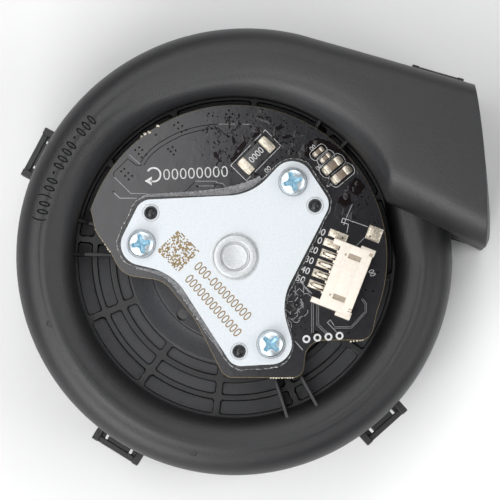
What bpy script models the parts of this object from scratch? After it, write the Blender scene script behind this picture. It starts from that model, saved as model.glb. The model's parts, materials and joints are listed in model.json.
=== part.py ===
"""Centrifugal blower module: a two-shell axial-rise scroll housing with a round
bowl on top that carries an external-rotor brushless motor, its zinc-plated
mounting plate and its driver board. The blower lies on its intake side.
Metres, +Z up. Origin: the middle of the footprint, on the surface it lies on.
"""
import math
import bmesh
import bpy
from mathutils import Matrix, Vector

# ---------------------------------------------------------------- dimensions
MM = 0.001
AXIS_X, AXIS_Y = -3.27, -0.776        # motor axis in the frame
GAP = 0.3                           # clearance between neighbouring pieces

RING_R = 39.8                       # outer radius of the scroll
GROWTH = 2.06                       # extra radius the scroll gains before the outlet
WALL = 1.6                          # housing wall
BOWL_R = 29.3                       # inner wall of the scroll, wall of the bowl
SEAM_Z = 14.0                       # parting line of the two shells
FLOOR_Z0, FLOOR_Z1 = 16.2, 18.0     # bowl floor
CREST_0, CREST_RISE = 22.5, 0.0451  # duct height at the tongue, rise per degree
CREST_END = 38.0                    # top of the outlet duct
START_DEG, END_DEG = 22.0, -286.1   # travel of the scroll, clockwise from above

OUT_N_DEG, OUT_D = 73.9, 41.86      # outlet outer wall: normal and distance
TON_N_DEG, TON_D = 64.8, 20.83      # outlet tongue wall: normal and distance
MOUTH_TOP, MOUTH_LOW = (43.45, 31.0), (45.6, 1.56)
MOUTH_BULGE = 1.1

INTAKE_R = 15.5
IMPELLER_R = 29.6
BLADES = 13
BOARD_Z0, BOARD_Z1, BOARD_R = 23.6, 24.8, 27.7
FILM_Z0, FILM_Z1 = 25.1, 25.4
PLATE_Z0, PLATE_Z1 = 25.7, 26.9
SCREW_R, POST_R = 17.2, 17.25
SCREW_DEG = (52.3, 172.3, 292.3)
POST_DEG = (32.5, 152.5, 272.5)
CLIP_DEG = (152.1, 238.1, 311.9)
PIN_PITCH = 2.0
HEADER = (19.6, -3.7)
HEADER_DEG = -21.2
SLOTS = 9
BALLS = 7


# ------------------------------------------------------------------- helpers
for old in list(bpy.data.objects):
    bpy.data.objects.remove(old, do_unlink=True)

parts = bpy.data.collections.new("centrifugal_blower")
helpers = bpy.data.collections.new("cutters")
bpy.context.scene.collection.children.link(parts)
bpy.context.scene.collection.children.link(helpers)
HERE = Vector((AXIS_X * MM, AXIS_Y * MM, 0.0))


def pol(r, deg):
    return (r * math.cos(math.radians(deg)), r * math.sin(math.radians(deg)))


def material(name, colour, rough, metal):
    mat = bpy.data.materials.get(name)
    if mat is None:
        mat = bpy.data.materials.new(name)
        mat.use_nodes = True
        shader = mat.node_tree.nodes["Principled BSDF"]
        shader.inputs["Base Color"].default_value = (*colour, 1.0)
        shader.inputs["Roughness"].default_value = rough
        shader.inputs["Metallic"].default_value = metal
        mat.diffuse_color = (*colour, 1.0)
    return mat


LOOKS = {
    "charcoal": ((0.030, 0.030, 0.032), 0.55, 0.0),
    "rotor_plastic": ((0.045, 0.045, 0.048), 0.5, 0.0),
    "zinc": ((0.72, 0.76, 0.80), 0.38, 0.9),
    "screw_zinc": ((0.62, 0.74, 0.82), 0.25, 1.0),
    "board": ((0.008, 0.009, 0.010), 0.22, 0.0),
    "film": ((0.42, 0.43, 0.44), 0.35, 0.0),
    "cream": ((0.86, 0.80, 0.70), 0.5, 0.0),
    "tin": ((0.75, 0.73, 0.68), 0.3, 1.0),
    "ceramic": ((0.42, 0.34, 0.26), 0.4, 0.0),
    "chip": ((0.02, 0.02, 0.022), 0.5, 0.0),
    "steel": ((0.62, 0.62, 0.63), 0.3, 1.0),
    "brass": ((0.72, 0.53, 0.26), 0.3, 1.0),
    "silicon_steel": ((0.35, 0.35, 0.37), 0.4, 1.0),
    "copper": ((0.72, 0.32, 0.14), 0.3, 1.0),
    "nylon": ((0.82, 0.80, 0.74), 0.5, 0.0),
    "magnet": ((0.08, 0.08, 0.085), 0.6, 0.3),
}


def own(obj, name, look):
    """Names the object, gives it its material and shades it."""
    obj.name = name
    obj.data.name = name
    colour, rough, metal = LOOKS[look]
    obj.data.materials.clear()
    obj.data.materials.append(material(look, colour, rough, metal))
    obj.data.shade_smooth()
    obj.data.set_sharp_from_angle(angle=math.radians(32))
    return obj


def made(bm, group=parts, recalc=True):
    """A bmesh in millimetres about the motor axis, as an object in metres."""
    if recalc:
        bmesh.ops.recalc_face_normals(bm, faces=bm.faces)
    if bm.calc_volume(signed=True) < 0:
        bmesh.ops.reverse_faces(bm, faces=bm.faces)
    bmesh.ops.scale(bm, vec=(MM, MM, MM), verts=bm.verts)
    mesh = bpy.data.meshes.new("shape")
    bm.to_mesh(mesh)
    bm.free()
    obj = bpy.data.objects.new("shape", mesh)
    obj.location = HERE
    group.objects.link(obj)
    return obj


def bake(obj):
    """Replaces an object's mesh with its evaluated one."""
    bpy.context.view_layer.update()
    graph = bpy.context.evaluated_depsgraph_get()
    mesh = bpy.data.meshes.new_from_object(obj.evaluated_get(graph))
    obj.modifiers.clear()
    obj.data = mesh
    return obj


def box(cx, cy, z0, z1, dx, dy, deg=0.0, bevel=0.0, segments=1):
    bm = bmesh.new()
    bmesh.ops.create_cube(bm, size=1.0)
    bmesh.ops.scale(bm, vec=(dx, dy, z1 - z0), verts=bm.verts)
    if bevel:
        bmesh.ops.bevel(bm, geom=list(bm.edges), offset=bevel, segments=segments,
                        affect='EDGES', profile=0.5)
    bmesh.ops.rotate(bm, matrix=Matrix.Rotation(math.radians(deg), 3, 'Z'), verts=bm.verts)
    bmesh.ops.translate(bm, vec=(cx, cy, (z0 + z1) / 2), verts=bm.verts)
    return made(bm)


def rod(cx, cy, z0, z1, r, seg=20, r_top=None):
    bm = bmesh.new()
    bmesh.ops.create_cone(bm, cap_ends=True, segments=seg, radius1=r,
                          radius2=r if r_top is None else r_top, depth=z1 - z0)
    bmesh.ops.translate(bm, vec=(cx, cy, (z0 + z1) / 2), verts=bm.verts)
    return made(bm)


def turned(profile, steps=40, cx=0.0, cy=0.0, closed=True):
    """A profile of (radius, height) turned about a vertical axis with a Screw."""
    bm = bmesh.new()
    verts = [bm.verts.new((max(r, 0.0) * MM, 0.0, z * MM)) for r, z in profile]
    for a, b in zip(verts, verts[1:]):
        bm.edges.new((a, b))
    if closed:
        bm.edges.new((verts[-1], verts[0]))
    mesh = bpy.data.meshes.new("profile")
    bm.to_mesh(mesh)
    bm.free()
    obj = bpy.data.objects.new("turned", mesh)
    parts.objects.link(obj)
    screw = obj.modifiers.new("Screw", 'SCREW')
    screw.axis = 'Z'
    screw.angle = math.tau
    screw.steps = steps
    screw.render_steps = steps
    screw.use_merge_vertices = True
    screw.merge_threshold = 1e-5
    bake(obj)
    bm = bmesh.new()
    bm.from_mesh(obj.data)
    bpy.data.objects.remove(obj, do_unlink=True)
    bmesh.ops.remove_doubles(bm, verts=bm.verts, dist=1e-6)
    bmesh.ops.scale(bm, vec=(1 / MM, 1 / MM, 1 / MM), verts=bm.verts)
    bmesh.ops.translate(bm, vec=(cx, cy, 0), verts=bm.verts)
    return made(bm)


def plate(outlines, z0, z1, group=parts):
    """A flat piece from closed 2D outlines (inner ones are holes)."""
    curve = bpy.data.curves.new("outline", 'CURVE')
    curve.dimensions = '2D'
    curve.fill_mode = 'BOTH'
    curve.extrude = (z1 - z0) / 2 * MM
    for outline in outlines:
        spline = curve.splines.new('POLY')
        spline.points.add(len(outline) - 1)
        for point, (x, y) in zip(spline.points, outline):
            point.co = (x * MM, y * MM, 0.0, 1.0)
        spline.use_cyclic_u = True
    source = bpy.data.objects.new("outline", curve)
    parts.objects.link(source)
    bpy.context.view_layer.update()
    graph = bpy.context.evaluated_depsgraph_get()
    mesh = bpy.data.meshes.new_from_object(source.evaluated_get(graph))
    bpy.data.objects.remove(source, do_unlink=True)
    bm = bmesh.new()
    bm.from_mesh(mesh)
    bmesh.ops.remove_doubles(bm, verts=bm.verts, dist=1e-7)
    bmesh.ops.scale(bm, vec=(1 / MM, 1 / MM, 1 / MM), verts=bm.verts)
    bmesh.ops.translate(bm, vec=(0, 0, (z0 + z1) / 2), verts=bm.verts)
    return made(bm, group)


def slab(outline, origin, deg, half):
    """An outline in the upright plane (along `deg`, up), given thickness."""
    obj = plate([outline], -half, half)
    turn = Matrix.Rotation(math.radians(90), 4, 'X')
    spin = Matrix.Rotation(math.radians(deg), 4, 'Z')
    move = Matrix.Translation((origin[0] * MM, origin[1] * MM, 0))
    obj.data.transform(move @ spin @ turn)
    return obj


def loft(sections):
    """Closed loops of equal length joined by quads, capped at both ends."""
    bm = bmesh.new()
    rings = [[bm.verts.new(p) for p in section] for section in sections]
    count = len(rings[0])
    for low, high in zip(rings, rings[1:]):
        for i in range(count):
            j = (i + 1) % count
            bm.faces.new((low[i], low[j], high[j], high[i]))
    bm.faces.new(list(reversed(rings[0])))
    bm.faces.new(rings[-1])
    bmesh.ops.triangulate(bm, faces=[f for f in bm.faces if len(f.verts) > 4])
    return made(bm)


def boolean(target, others, operation):
    for other in others:
        for group in list(other.users_collection):
            group.objects.unlink(other)
        helpers.objects.link(other)
        other.hide_render = True
        other.display_type = 'WIRE'
        mod = target.modifiers.new("cut", 'BOOLEAN')
        mod.operation = operation
        mod.solver = 'EXACT'
        mod.object = other
        bake(target)
        bpy.data.objects.remove(other, do_unlink=True)
    bm = bmesh.new()
    bm.from_mesh(target.data)
    bmesh.ops.remove_doubles(bm, verts=bm.verts, dist=2e-6)
    bmesh.ops.dissolve_degenerate(bm, dist=1e-6, edges=bm.edges)
    bmesh.ops.dissolve_limit(bm, angle_limit=math.radians(0.4), verts=bm.verts,
                             edges=bm.edges)
    bmesh.ops.triangulate(bm, faces=bm.faces)
    bm.to_mesh(target.data)
    bm.free()
    return target


def union(target, *others):
    return boolean(target, others, 'UNION')


def cut(target, *others):
    return boolean(target, others, 'DIFFERENCE')


def circle(r, seg=20, cx=0.0, cy=0.0):
    return [(cx + r * math.cos(math.tau * i / seg), cy + r * math.sin(math.tau * i / seg))
            for i in range(seg)]


def filleted(corners, steps=5):
    """A closed outline from (x, y, fillet radius) corners."""
    points = []
    count = len(corners)
    for i in range(count):
        x, y, r = corners[i]
        here = Vector((x, y))
        a = (Vector(corners[i - 1][:2]) - here).normalized()
        b = (Vector(corners[(i + 1) % count][:2]) - here).normalized()
        half = math.acos(max(-1, min(1, a.dot(b)))) / 2
        if r <= 0 or half > 1.55:
            points.append((x, y))
            continue
        reach = r / math.tan(half)
        centre = here + (a + b).normalized() * (r / math.sin(half))
        start, end = here + a * reach - centre, here + b * reach - centre
        sweep = math.atan2(start.x * end.y - start.y * end.x, start.dot(end))
        for k in range(steps + 1):
            t = sweep * k / steps
            points.append((centre.x + start.x * math.cos(t) - start.y * math.sin(t),
                           centre.y + start.x * math.sin(t) + start.y * math.cos(t)))
    return points


# ------------------------------------------------------- scroll plan geometry
OUT_N, TON_N = pol(1, OUT_N_DEG), pol(1, TON_N_DEG)


def ring_r(deg):
    """Outer radius of the scroll at an angle between END_DEG and START_DEG."""
    turn = deg % 360
    grown = max(0.0, min(1.0, (150 - turn) / 76)) if 60 < turn < 150 else 0.0
    return RING_R + GROWTH * grown ** 1.3


def crest(deg):
    return CREST_0 + CREST_RISE * (20.0 - deg)


def on_tongue_line(r, offset=0.0):
    """Angle at which the tongue wall's line passes the radius."""
    return TON_N_DEG - math.degrees(math.acos((TON_D + offset) / r))


def mouth(t, inset=0.0, beyond=0.0):
    """A point on the outlet's mouth, 0 at its lower corner, 1 at its top."""
    dn = (TON_D + inset, OUT_D - inset)
    x0, y0 = MOUTH_LOW
    x1, y1 = MOUTH_TOP
    low = TON_N[0] * x0 + TON_N[1] * y0
    top = OUT_N[0] * x1 + OUT_N[1] * y1
    x0, y0 = x0 + TON_N[0] * (dn[0] - low), y0 + TON_N[1] * (dn[0] - low)
    x1, y1 = x1 + OUT_N[0] * (dn[1] - top), y1 + OUT_N[1] * (dn[1] - top)
    bulge = MOUTH_BULGE * 4 * t * (1 - t) + beyond
    return (x0 + (x1 - x0) * t + bulge * 0.9975, y0 + (y1 - y0) * t + bulge * 0.072)


def plan(inset, beyond=0.0, ring_step=8.0):
    """The housing's outline seen from above, moved inwards by `inset`."""
    points = []
    first = on_tongue_line(RING_R - inset, inset if inset < 1 else -0.0)
    deg = first
    while deg > END_DEG:
        points.append(pol(ring_r(deg) - inset, deg))
        deg -= ring_step
    points.append(pol(OUT_D - inset, END_DEG))
    points += [mouth(t, inset, beyond) for t in (1.0, 0.8, 0.6, 0.4, 0.2, 0.0)]
    return points


# --------------------------------------------------------------- duct sections
def arch(inner, outer, z0, top, ri, ro, steps=4, bulge=0.0, crown=1):
    """Half-arch over the duct: inner and outer plan points, top height, and
    the sizes of the two rounded shoulders. Returns a closed loop."""
    span = math.dist(inner, outer)

    def at(w, z):
        k = w / span
        b = bulge * 4 * k * (1 - k)
        return (inner[0] + (outer[0] - inner[0]) * k + b * 0.9975,
                inner[1] + (outer[1] - inner[1]) * k + b * 0.072, z)

    loop = [at(0, z0)]
    for k in range(steps + 1):
        a = math.pi / 2 * k / steps
        loop.append(at(ri * (1 - math.cos(a)), top - 0.35 - ri * 1.25 * (1 - math.sin(a))))
    for k in range(1, crown + 1):
        f = k / (crown + 1)
        loop.append(at(ri + (span - ri - ro) * f, top - 0.35 * (2 * f - 1) ** 2))
    for k in range(steps + 1):
        a = math.pi / 2 * k / steps
        loop.append(at(span - ro * (1 - math.sin(a)), top - 0.35 - ro * 1.15 * (1 - math.cos(a))))
    loop.append(at(span, z0))
    return loop


def ring_sections(inset, z0):
    sections = []
    step = 12.0 if inset else 9.0
    if inset:
        degs = [None, -2.0]
        d = -2.0 - step
    else:
        degs = [START_DEG + 1.0]
        d = START_DEG + 1.0 - step
    while d > END_DEG - (0.0 if inset else 0.0) + 2:
        degs.append(d)
        d -= step
    degs.append(END_DEG - (1.5 if inset else 1.0))
    for d in degs:
        if d is None:
            inner = pol(BOWL_R + inset, on_tongue_line(BOWL_R + inset) - 0.3)
            outer = pol(RING_R - inset, on_tongue_line(RING_R - inset) - 0.3)
            d = 10.0
        else:
            radius = ring_r(d) if d > END_DEG else OUT_D
            inner, outer = pol(BOWL_R + inset, d), pol(radius - inset, d)
        sections.append(arch(inner, outer, z0, crest(d) - inset, 2.8 - inset * 0.5,
                             3.8 - inset * 0.6, 2 if inset else 4))
    return sections


def outlet_sections(inset, z0, beyond=0.0, count=11):
    """From the radial plane where the scroll ends to the mouth."""
    sections = []
    r_in, off = BOWL_R + inset, inset
    end_deg = TON_N_DEG - math.degrees(math.acos((TON_D + off) / r_in))
    corner = pol(r_in, end_deg)
    m0, m1 = mouth(0.0, inset, beyond), mouth(1.0, inset, beyond)
    arc_len = math.radians(OUT_N_DEG - end_deg) * r_in
    line_len = math.dist(corner, m0)
    start_out = pol(OUT_D - inset, OUT_N_DEG)
    for k in range(count):
        t = k / (count - 1)
        run = t * (arc_len + line_len)
        if run < arc_len:
            inner = pol(r_in, OUT_N_DEG - math.degrees(run / r_in))
        else:
            f = (run - arc_len) / line_len
            inner = (corner[0] + (m0[0] - corner[0]) * f, corner[1] + (m0[1] - corner[1]) * f)
        outer = (start_out[0] + (m1[0] - start_out[0]) * t,
                 start_out[1] + (m1[1] - start_out[1]) * t)
        top = min(CREST_END, crest(END_DEG) + (CREST_END - crest(END_DEG)) * t / 0.45) - inset
        ri = 2.8 + 1.7 * t - inset * 0.5
        sections.append(arch(inner, outer, z0, top, ri, 3.8 - inset * 0.6, 2 if inset else 4,
                             MOUTH_BULGE * t ** 3, 3))
    return sections


# ------------------------------------------------------------------ upper shell
def pockets():
    """Recessed arcs between the rings and spokes of the bowl floor."""
    outlines = []
    for k in range(12):
        centre = 23.0 + 30.0 * k + 15.0
        for r0, r1 in ((19.9, 21.8), (22.9, 25.2), (26.2, 28.8)):
            half = 15.0 - math.degrees(0.55 / ((r0 + r1) / 2))
            loop = [pol(r1, centre - half + 2 * half * i / 3) for i in range(4)]
            loop += [pol(r0, centre + half - 2 * half * i / 2) for i in range(3)]
            outlines.append(loop)
    return outlines


DOME = [(29.9, FLOOR_Z1), (19.4, FLOOR_Z1), (18.3, 18.7), (17.3, 20.2), (16.5, 21.7),
        (15.5, 22.5), (12.4, 22.5), (12.4, 21.0), (15.0, 21.0), (16.2, 19.4),
        (17.2, 17.4), (18.6, FLOOR_Z0), (29.9, FLOOR_Z0)]

upper = loft(ring_sections(0.0, SEAM_Z + 0.15))
outlet = loft(outlet_sections(0.0, SEAM_Z + 0.15))
union(upper, outlet)
ring_void = loft(ring_sections(WALL, 10.0))
outlet_void = loft(outlet_sections(WALL, 10.0, beyond=3.0))
cut(upper, ring_void, outlet_void)
bowl = turned(DOME, 44)
for deg in SCREW_DEG:
    union(bowl, rod(*pol(SCREW_R, deg), 17.2, PLATE_Z0 - GAP, 2.8, 14))
for deg in POST_DEG:
    cx, cy = pol(POST_R, deg)
    union(bowl, turned([(0, 27.9), (0.6, 27.75), (1.1, 27.2), (1.1, 24.0), (1.9, 22.9),
                        (1.9, 17.0), (0, 17.0)], 8, cx, cy, closed=False))
cut(bowl, plate(pockets(), FLOOR_Z1 - 1.1, FLOOR_Z1 + 1.0))
union(upper, bowl)
for deg, r1, top in ((166.8, 31.2, 26.6), (179.0, 31.2, 26.8), (288.0, 31.6, 24.0),
                     (298.8, 31.6, 23.6), (46.0, 30.6, 23.2), (58.0, 30.6, 23.2)):
    rib = slab([(18.6, 17.3), (r1 - 1.2, 17.3), (r1, top - 3.0), (r1, top), (27.6, 23.2), (18.6, 22.9)],
               (0, 0), deg, 0.35)
    union(upper, rib)


def clip_frame(deg=None):
    """(centre on the wall, direction along the wall, outward direction)."""
    if deg is not None:
        return pol(ring_r(deg), deg), deg
    along = pol(1, OUT_N_DEG - 90)
    mid = 26.35
    return (OUT_N[0] * OUT_D + along[0] * mid, OUT_N[1] * OUT_D + along[1] * mid), OUT_N_DEG


def outward_box(place, deg, r0, r1, side, width, z0, z1):
    out, along = pol(1, deg), pol(1, deg + 90)
    cx = place[0] + out[0] * (r0 + r1) / 2 + along[0] * side
    cy = place[1] + out[1] * (r0 + r1) / 2 + along[1] * side
    return box(cx, cy, z0, z1, r1 - r0, width, deg)


for deg in CLIP_DEG + (None,):
    place, facing = clip_frame(deg)
    for side in (-4.1, 4.1):
        union(upper, outward_box(place, facing, -0.9, 1.9, side, 1.3, SEAM_Z + 0.6, 17.6))
    clip = outward_box(place, facing, 0.95, 1.85, 0, 9.2, 9.9, 12.0)
    for side in (-4.1, 4.1):
        union(clip, outward_box(place, facing, 0.5, 1.9, side, 1.3, 10.0, SEAM_Z + 1.5))
    union(upper, clip)
for deg in SCREW_DEG:
    cut(upper, rod(*pol(SCREW_R, deg), 19.0, 30.0, 1.15, 12))
own(upper, "upper_housing", "charcoal")

# ------------------------------------------------------------------ lower shell


def plan_at(inset, z):
    return [(x, y, z) for x, y in plan(inset)]


lower = loft([plan_at(1.5, 0.0), plan_at(0.45, 0.5), plan_at(0.0, 1.6), plan_at(0.0, SEAM_Z - 0.15)])
void = []
tip = BOWL_R + WALL
deg = on_tongue_line(RING_R - WALL) - 0.3
void.append(pol(tip, on_tongue_line(tip) - 0.3))
while deg > END_DEG:
    void.append(pol(ring_r(deg) - WALL, deg))
    deg -= 8.0
void.append(pol(OUT_D - WALL, END_DEG))
void += [mouth(t, WALL, 3.0) for t in (1.0, 0.0)]
void.append(pol(tip, on_tongue_line(tip, WALL)))
cut(lower, plate([void], WALL, SEAM_Z + 3.0))
union(lower, turned([(16.7, 3.6), (16.7, 0.9), (16.0, 0.9), (16.0, 3.6)], 48))
cut(lower, turned([(0, 6.0), (INTAKE_R, 6.0), (INTAKE_R, 2.0), (16.2, 0.9), (17.4, 0.25),
                   (19.0, -0.2), (19.0, -2.0), (0, -2.0)], 48, closed=False))
for deg in CLIP_DEG + (None,):
    place, facing = clip_frame(deg)
    union(lower, outward_box(place, facing, -0.8, 1.6, 0, 3.0, 12.3, 13.2))
own(lower, "lower_housing", "charcoal")

# --------------------------------------------------------- plate, film, board


def trefoil(grow, valley=11.7):
    corners = []
    for k in range(3):
        corners += [(*pol(20.0 + grow * 1.45, 29 + 120 * k), 2.9 + grow),
                    (*pol(22.5 + grow * 1.5, 60.9 + 120 * k), 3.8 + grow),
                    (*pol(valley + grow, 75 + 120 * k + 0.0), 10.0)]
    return filleted(corners, 5)


def plate_holes(screw, post, centre, seg=10):
    holes = [circle(centre, 20)]
    holes += [circle(screw, seg, *pol(SCREW_R, d)) for d in SCREW_DEG]
    holes += [circle(post, seg, *pol(POST_R, d)) for d in POST_DEG]
    return holes


own(plate([trefoil(0.0)] + plate_holes(1.5, 1.5, 4.9), PLATE_Z0, PLATE_Z1), "motor_plate", "zinc")
own(plate([trefoil(0.85, 12.65)] + plate_holes(3.1, 1.6, 6.4), FILM_Z0, FILM_Z1), "insulator_film", "film")

outline = []
d = 162.0
while d > -22:
    outline.append((*pol(BOARD_R, d), 0))
    d -= 9.0
outline += [(*pol(BOARD_R, -21.0), 0), (*pol(29.0, -31.5), 2.4), (13.0, -15.2, 3.5), (12.4, -22.0, 2.0),
            (-1.9, -22.0, 2.4), (-7.2, -11.5, 12.0), (-13.0, -4.3, 5.0), (-20.6, -3.3, 4.5),
            (-22.6, 0.7, 2.0), (-25.5, 4.9, 1.5), (-26.2, 8.2, 0.6)]
board = [filleted(outline, 4)] + plate_holes(3.1, 1.5, 5.3)
own(plate(board, BOARD_Z0, BOARD_Z1), "driver_board", "board")

for i, deg in enumerate(SCREW_DEG):
    cx, cy = pol(SCREW_R, deg)
    screw = turned([(0, 28.9), (1.2, 28.85), (2.1, 28.35), (2.5, 27.7), (2.5, 27.2), (1.0, 27.2),
                    (1.0, 20.6), (0.5, 20.0), (0, 20.0)], 14, cx, cy, closed=False)
    cross = box(cx, cy, 28.0, 30.0, 3.4, 0.6, 20 + 40 * i)
    union(cross, box(cx, cy, 27.9, 30.1, 0.6, 3.4, 20 + 40 * i))
    cut(screw, cross)
    own(screw, f"plate_screw_{i + 1}", "screw_zinc")

# ------------------------------------------------------- header and components
AX, AY = pol(1, HEADER_DEG), pol(1, HEADER_DEG + 90)
TOP = BOARD_Z1 + GAP


def header(u, v):
    return (HEADER[0] + AX[0] * u + AY[0] * v, HEADER[1] + AX[1] * u + AY[1] * v)


shell = box(*header(0.65, 0), TOP, TOP + 5.6, 6.1, 11.9, HEADER_DEG)
for side in (-1, 1):
    union(shell, box(*header(-0.6, side * 5.5), TOP, TOP + 5.55, 6.7, 0.85, HEADER_DEG))
for side in (-1, 1):
    union(shell, box(*header(1.9, side * 6.2), TOP + 0.1, TOP + 3.4, 3.4, 1.6, HEADER_DEG))
cut(shell, box(*header(1.6, 0), TOP + 0.9, TOP + 4.8, 5.6, 10.2, HEADER_DEG))
for side in (-1, 1):
    cut(shell, box(*header(0.75, side * 3.9), TOP + 4.0, TOP + 7.0, 2.2, 1.0, HEADER_DEG))
for k in range(5):
    v = (k - 2) * PIN_PITCH
    cut(shell, box(*header(-1.9, v), TOP + 2.2, TOP + 3.3, 3.0, 1.1, HEADER_DEG))
own(shell, "connector_housing", "cream")
for k in range(5):
    v = (k - 2) * PIN_PITCH
    pin = slab([(2.6, 27.55), (2.9, 27.75), (2.6, 28.05), (-4.8, 28.05), (-4.8, 25.6), (-5.7, 25.6),
                (-5.7, TOP), (-4.3, TOP), (-4.3, 27.55)], header(0, v), HEADER_DEG, 0.25)
    own(pin, f"connector_pin_{k + 1}", "tin")


def chip(name, cx, cy, deg, dx, dy, h, look, under=False, bevel=0.0):
    z0 = BOARD_Z0 - GAP - h if under else TOP
    return own(box(cx, cy, z0, z0 + h, dx, dy, deg, bevel), name, look)


chip("shunt_resistor", 3.9, 18.5, 46.0, 6.4, 3.2, 0.7, "chip", bevel=0.12)
chip("capacitor_large_1", 17.8, 16.7, 40.0, 3.2, 1.6, 1.6, "ceramic", bevel=0.15)
chip("capacitor_large_2", 19.3, 15.1, 40.0, 3.2, 1.6, 1.6, "ceramic", bevel=0.15)
chip("capacitor_small_1", 15.2, 19.2, 40.0, 2.0, 1.25, 0.9, "ceramic", bevel=0.1)
chip("capacitor_small_2", 16.5, 18.2, 40.0, 2.0, 1.25, 0.9, "ceramic", bevel=0.1)
for i, deg in enumerate((84.0, 112.0, 140.0)):
    chip(f"power_transistor_{i + 1}", *pol(23.2, deg), deg, 5.0, 6.0, 1.0, "chip", under=True)
chip("motor_controller", *pol(23.0, 4.0), 4.0, 5.0, 5.0, 0.9, "chip", under=True)
for i in range(3):
    deg = 95.0 + 40.0 * i
    chip(f"hall_sensor_{i + 1}", *pol(11.0, deg), deg, 1.4, 2.6, 1.0, "chip", under=True)

# -------------------------------------------------------------- motor, fixed
own(turned([(4.7, PLATE_Z0 - 0.5), (4.2, 27.3), (3.65, 27.6), (2.55, 27.6), (2.55, 24.4), (4.2, 24.4),
            (4.2, 11.2), (5.1, 11.2), (5.1, PLATE_Z0 - 0.7)], 24), "bearing_tube", "zinc")
own(turned([(0, 27.4), (2.1, 27.4), (2.3, 27.2), (2.3, 26.6), (0, 26.6)], 20, closed=False),
    "tube_end_cap", "zinc")


def lamination(bore, back, tooth, shoe, rim, half_shoe):
    outline = []
    for k in range(SLOTS):
        mid = 360.0 / SLOTS * k
        root = math.degrees(math.asin(tooth / 2 / back))
        neck = math.degrees(math.asin(tooth / 2 / shoe))
        outline += [pol(back, mid - root), pol(shoe, mid - neck), pol(rim - 0.5, mid - half_shoe),
                    pol(rim, mid - half_shoe), pol(rim, mid), pol(rim, mid + half_shoe),
                    pol(rim - 0.5, mid + half_shoe), pol(shoe, mid + neck), pol(back, mid + root)]
    return [outline, circle(bore, 24)]


own(plate(lamination(5.4, 6.6, 2.0, 9.5, 10.5, 16.0), 12.1, 17.4), "stator_core", "silicon_steel")
own(plate(lamination(5.4, 6.6, 1.8, 9.5, 10.3, 14.0), 17.7, 18.5), "stator_insulator_upper", "nylon")
own(plate(lamination(5.4, 6.6, 1.8, 9.5, 10.3, 14.0), 11.0, 11.8), "stator_insulator_lower", "nylon")
for k in range(SLOTS):
    deg = 360.0 / SLOTS * k
    coil = box(*pol(8.1, deg), 9.8, 19.7, 1.9, 4.3, deg)
    cut(coil, box(*pol(8.1, deg), 10.7, 18.8, 4.0, 2.6, deg))
    own(coil, f"stator_coil_{k + 1}", "copper")


def ring(r0, r1, z0, z1, seg=20):
    return turned([(r1, z1), (r1, z0), (r0, z0), (r0, z1)], seg)


for name, z in (("upper", 19.6), ("lower", 11.4)):
    own(ring(3.25, 4.0, z, z + 4.0, 18), f"{name}_bearing_outer_ring", "steel")
    own(ring(1.75, 2.35, z, z + 4.0, 14), f"{name}_bearing_inner_ring", "steel")
    balls = ring(2.62, 2.98, z + 1.2, z + 2.8, 21)
    for k in range(BALLS):
        bm = bmesh.new()
        bmesh.ops.create_icosphere(bm, subdivisions=1, radius=0.44)
        bmesh.ops.translate(bm, vec=(*pol(2.8, 360.0 / BALLS * k + 3.0), z + 2.0), verts=bm.verts)
        union(balls, made(bm))
    own(balls, f"{name}_ball_cage", "steel")

# ------------------------------------------------------------- rotor, turning
own(turned([(0, 25.6), (1.2, 25.6), (1.5, 25.3), (1.5, 25.0), (1.2, 25.0), (1.2, 24.5), (1.5, 24.5),
            (1.5, 7.5), (0, 7.5)], 14, closed=False), "shaft", "steel")
own(ring(1.35, 2.3, 24.6, 24.9, 14), "retaining_ring", "steel")
own(turned([(13.4, 20.2), (13.4, 8.0), (12.6, 7.2), (3.3, 7.2), (3.3, 8.2), (12.4, 8.2), (12.4, 20.2)],
           36), "rotor_cup", "steel")
own(ring(10.95, 12.1, 9.0, 19.8, 32), "rotor_magnet", "magnet")
own(turned([(3.0, 10.0), (3.0, 7.2), (1.8, 7.2), (1.8, 9.9)], 14), "hub_bush", "brass")
own(ring(1.75, 2.5, 10.35, 10.75, 14), "thrust_washer", "steel")

HUB = [(0, 6.9), (12.9, 6.9), (13.7, 7.6), (13.7, 13.5), (IMPELLER_R, 13.5), (IMPELLER_R, 12.5),
       (15.2, 12.3), (14.9, 11.9), (14.9, 7.2), (13.6, 5.4), (0, 4.9)]
hub = turned(HUB, 52, closed=False)


def blade(deg, thick=0.8, steps=5):
    """A backward-curved blade for rotation clockwise seen from above."""
    line = [(17.2 + 12.2 * i / steps, deg + 38.0 * (i / steps) ** 0.9) for i in range(steps + 1)]
    line = [Vector(pol(r, a)) for r, a in line]
    left, right = [], []
    for i, p in enumerate(line):
        t = (line[min(i + 1, steps)] - line[max(i - 1, 0)]).normalized()
        n = Vector((-t.y, t.x)) * thick / 2
        left.append(tuple(p + n))
        right.append(tuple(p - n))
    return left + right[::-1]


blades = plate([blade(360.0 / BLADES * k) for k in range(BLADES)], 4.5, 12.9)
union(hub, blades)
own(hub, "impeller", "rotor_plastic")
own(turned([(29.6, 4.2), (29.6, 3.3), (19.0, 3.3), (18.2, 2.5), (17.3, 2.5), (17.3, 3.4), (18.4, 4.2)],
           40), "impeller_shroud", "rotor_plastic")
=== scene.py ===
import json
import math
import random

import bmesh
import bpy
import numpy as np
from mathutils import Matrix, Vector, noise


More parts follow.
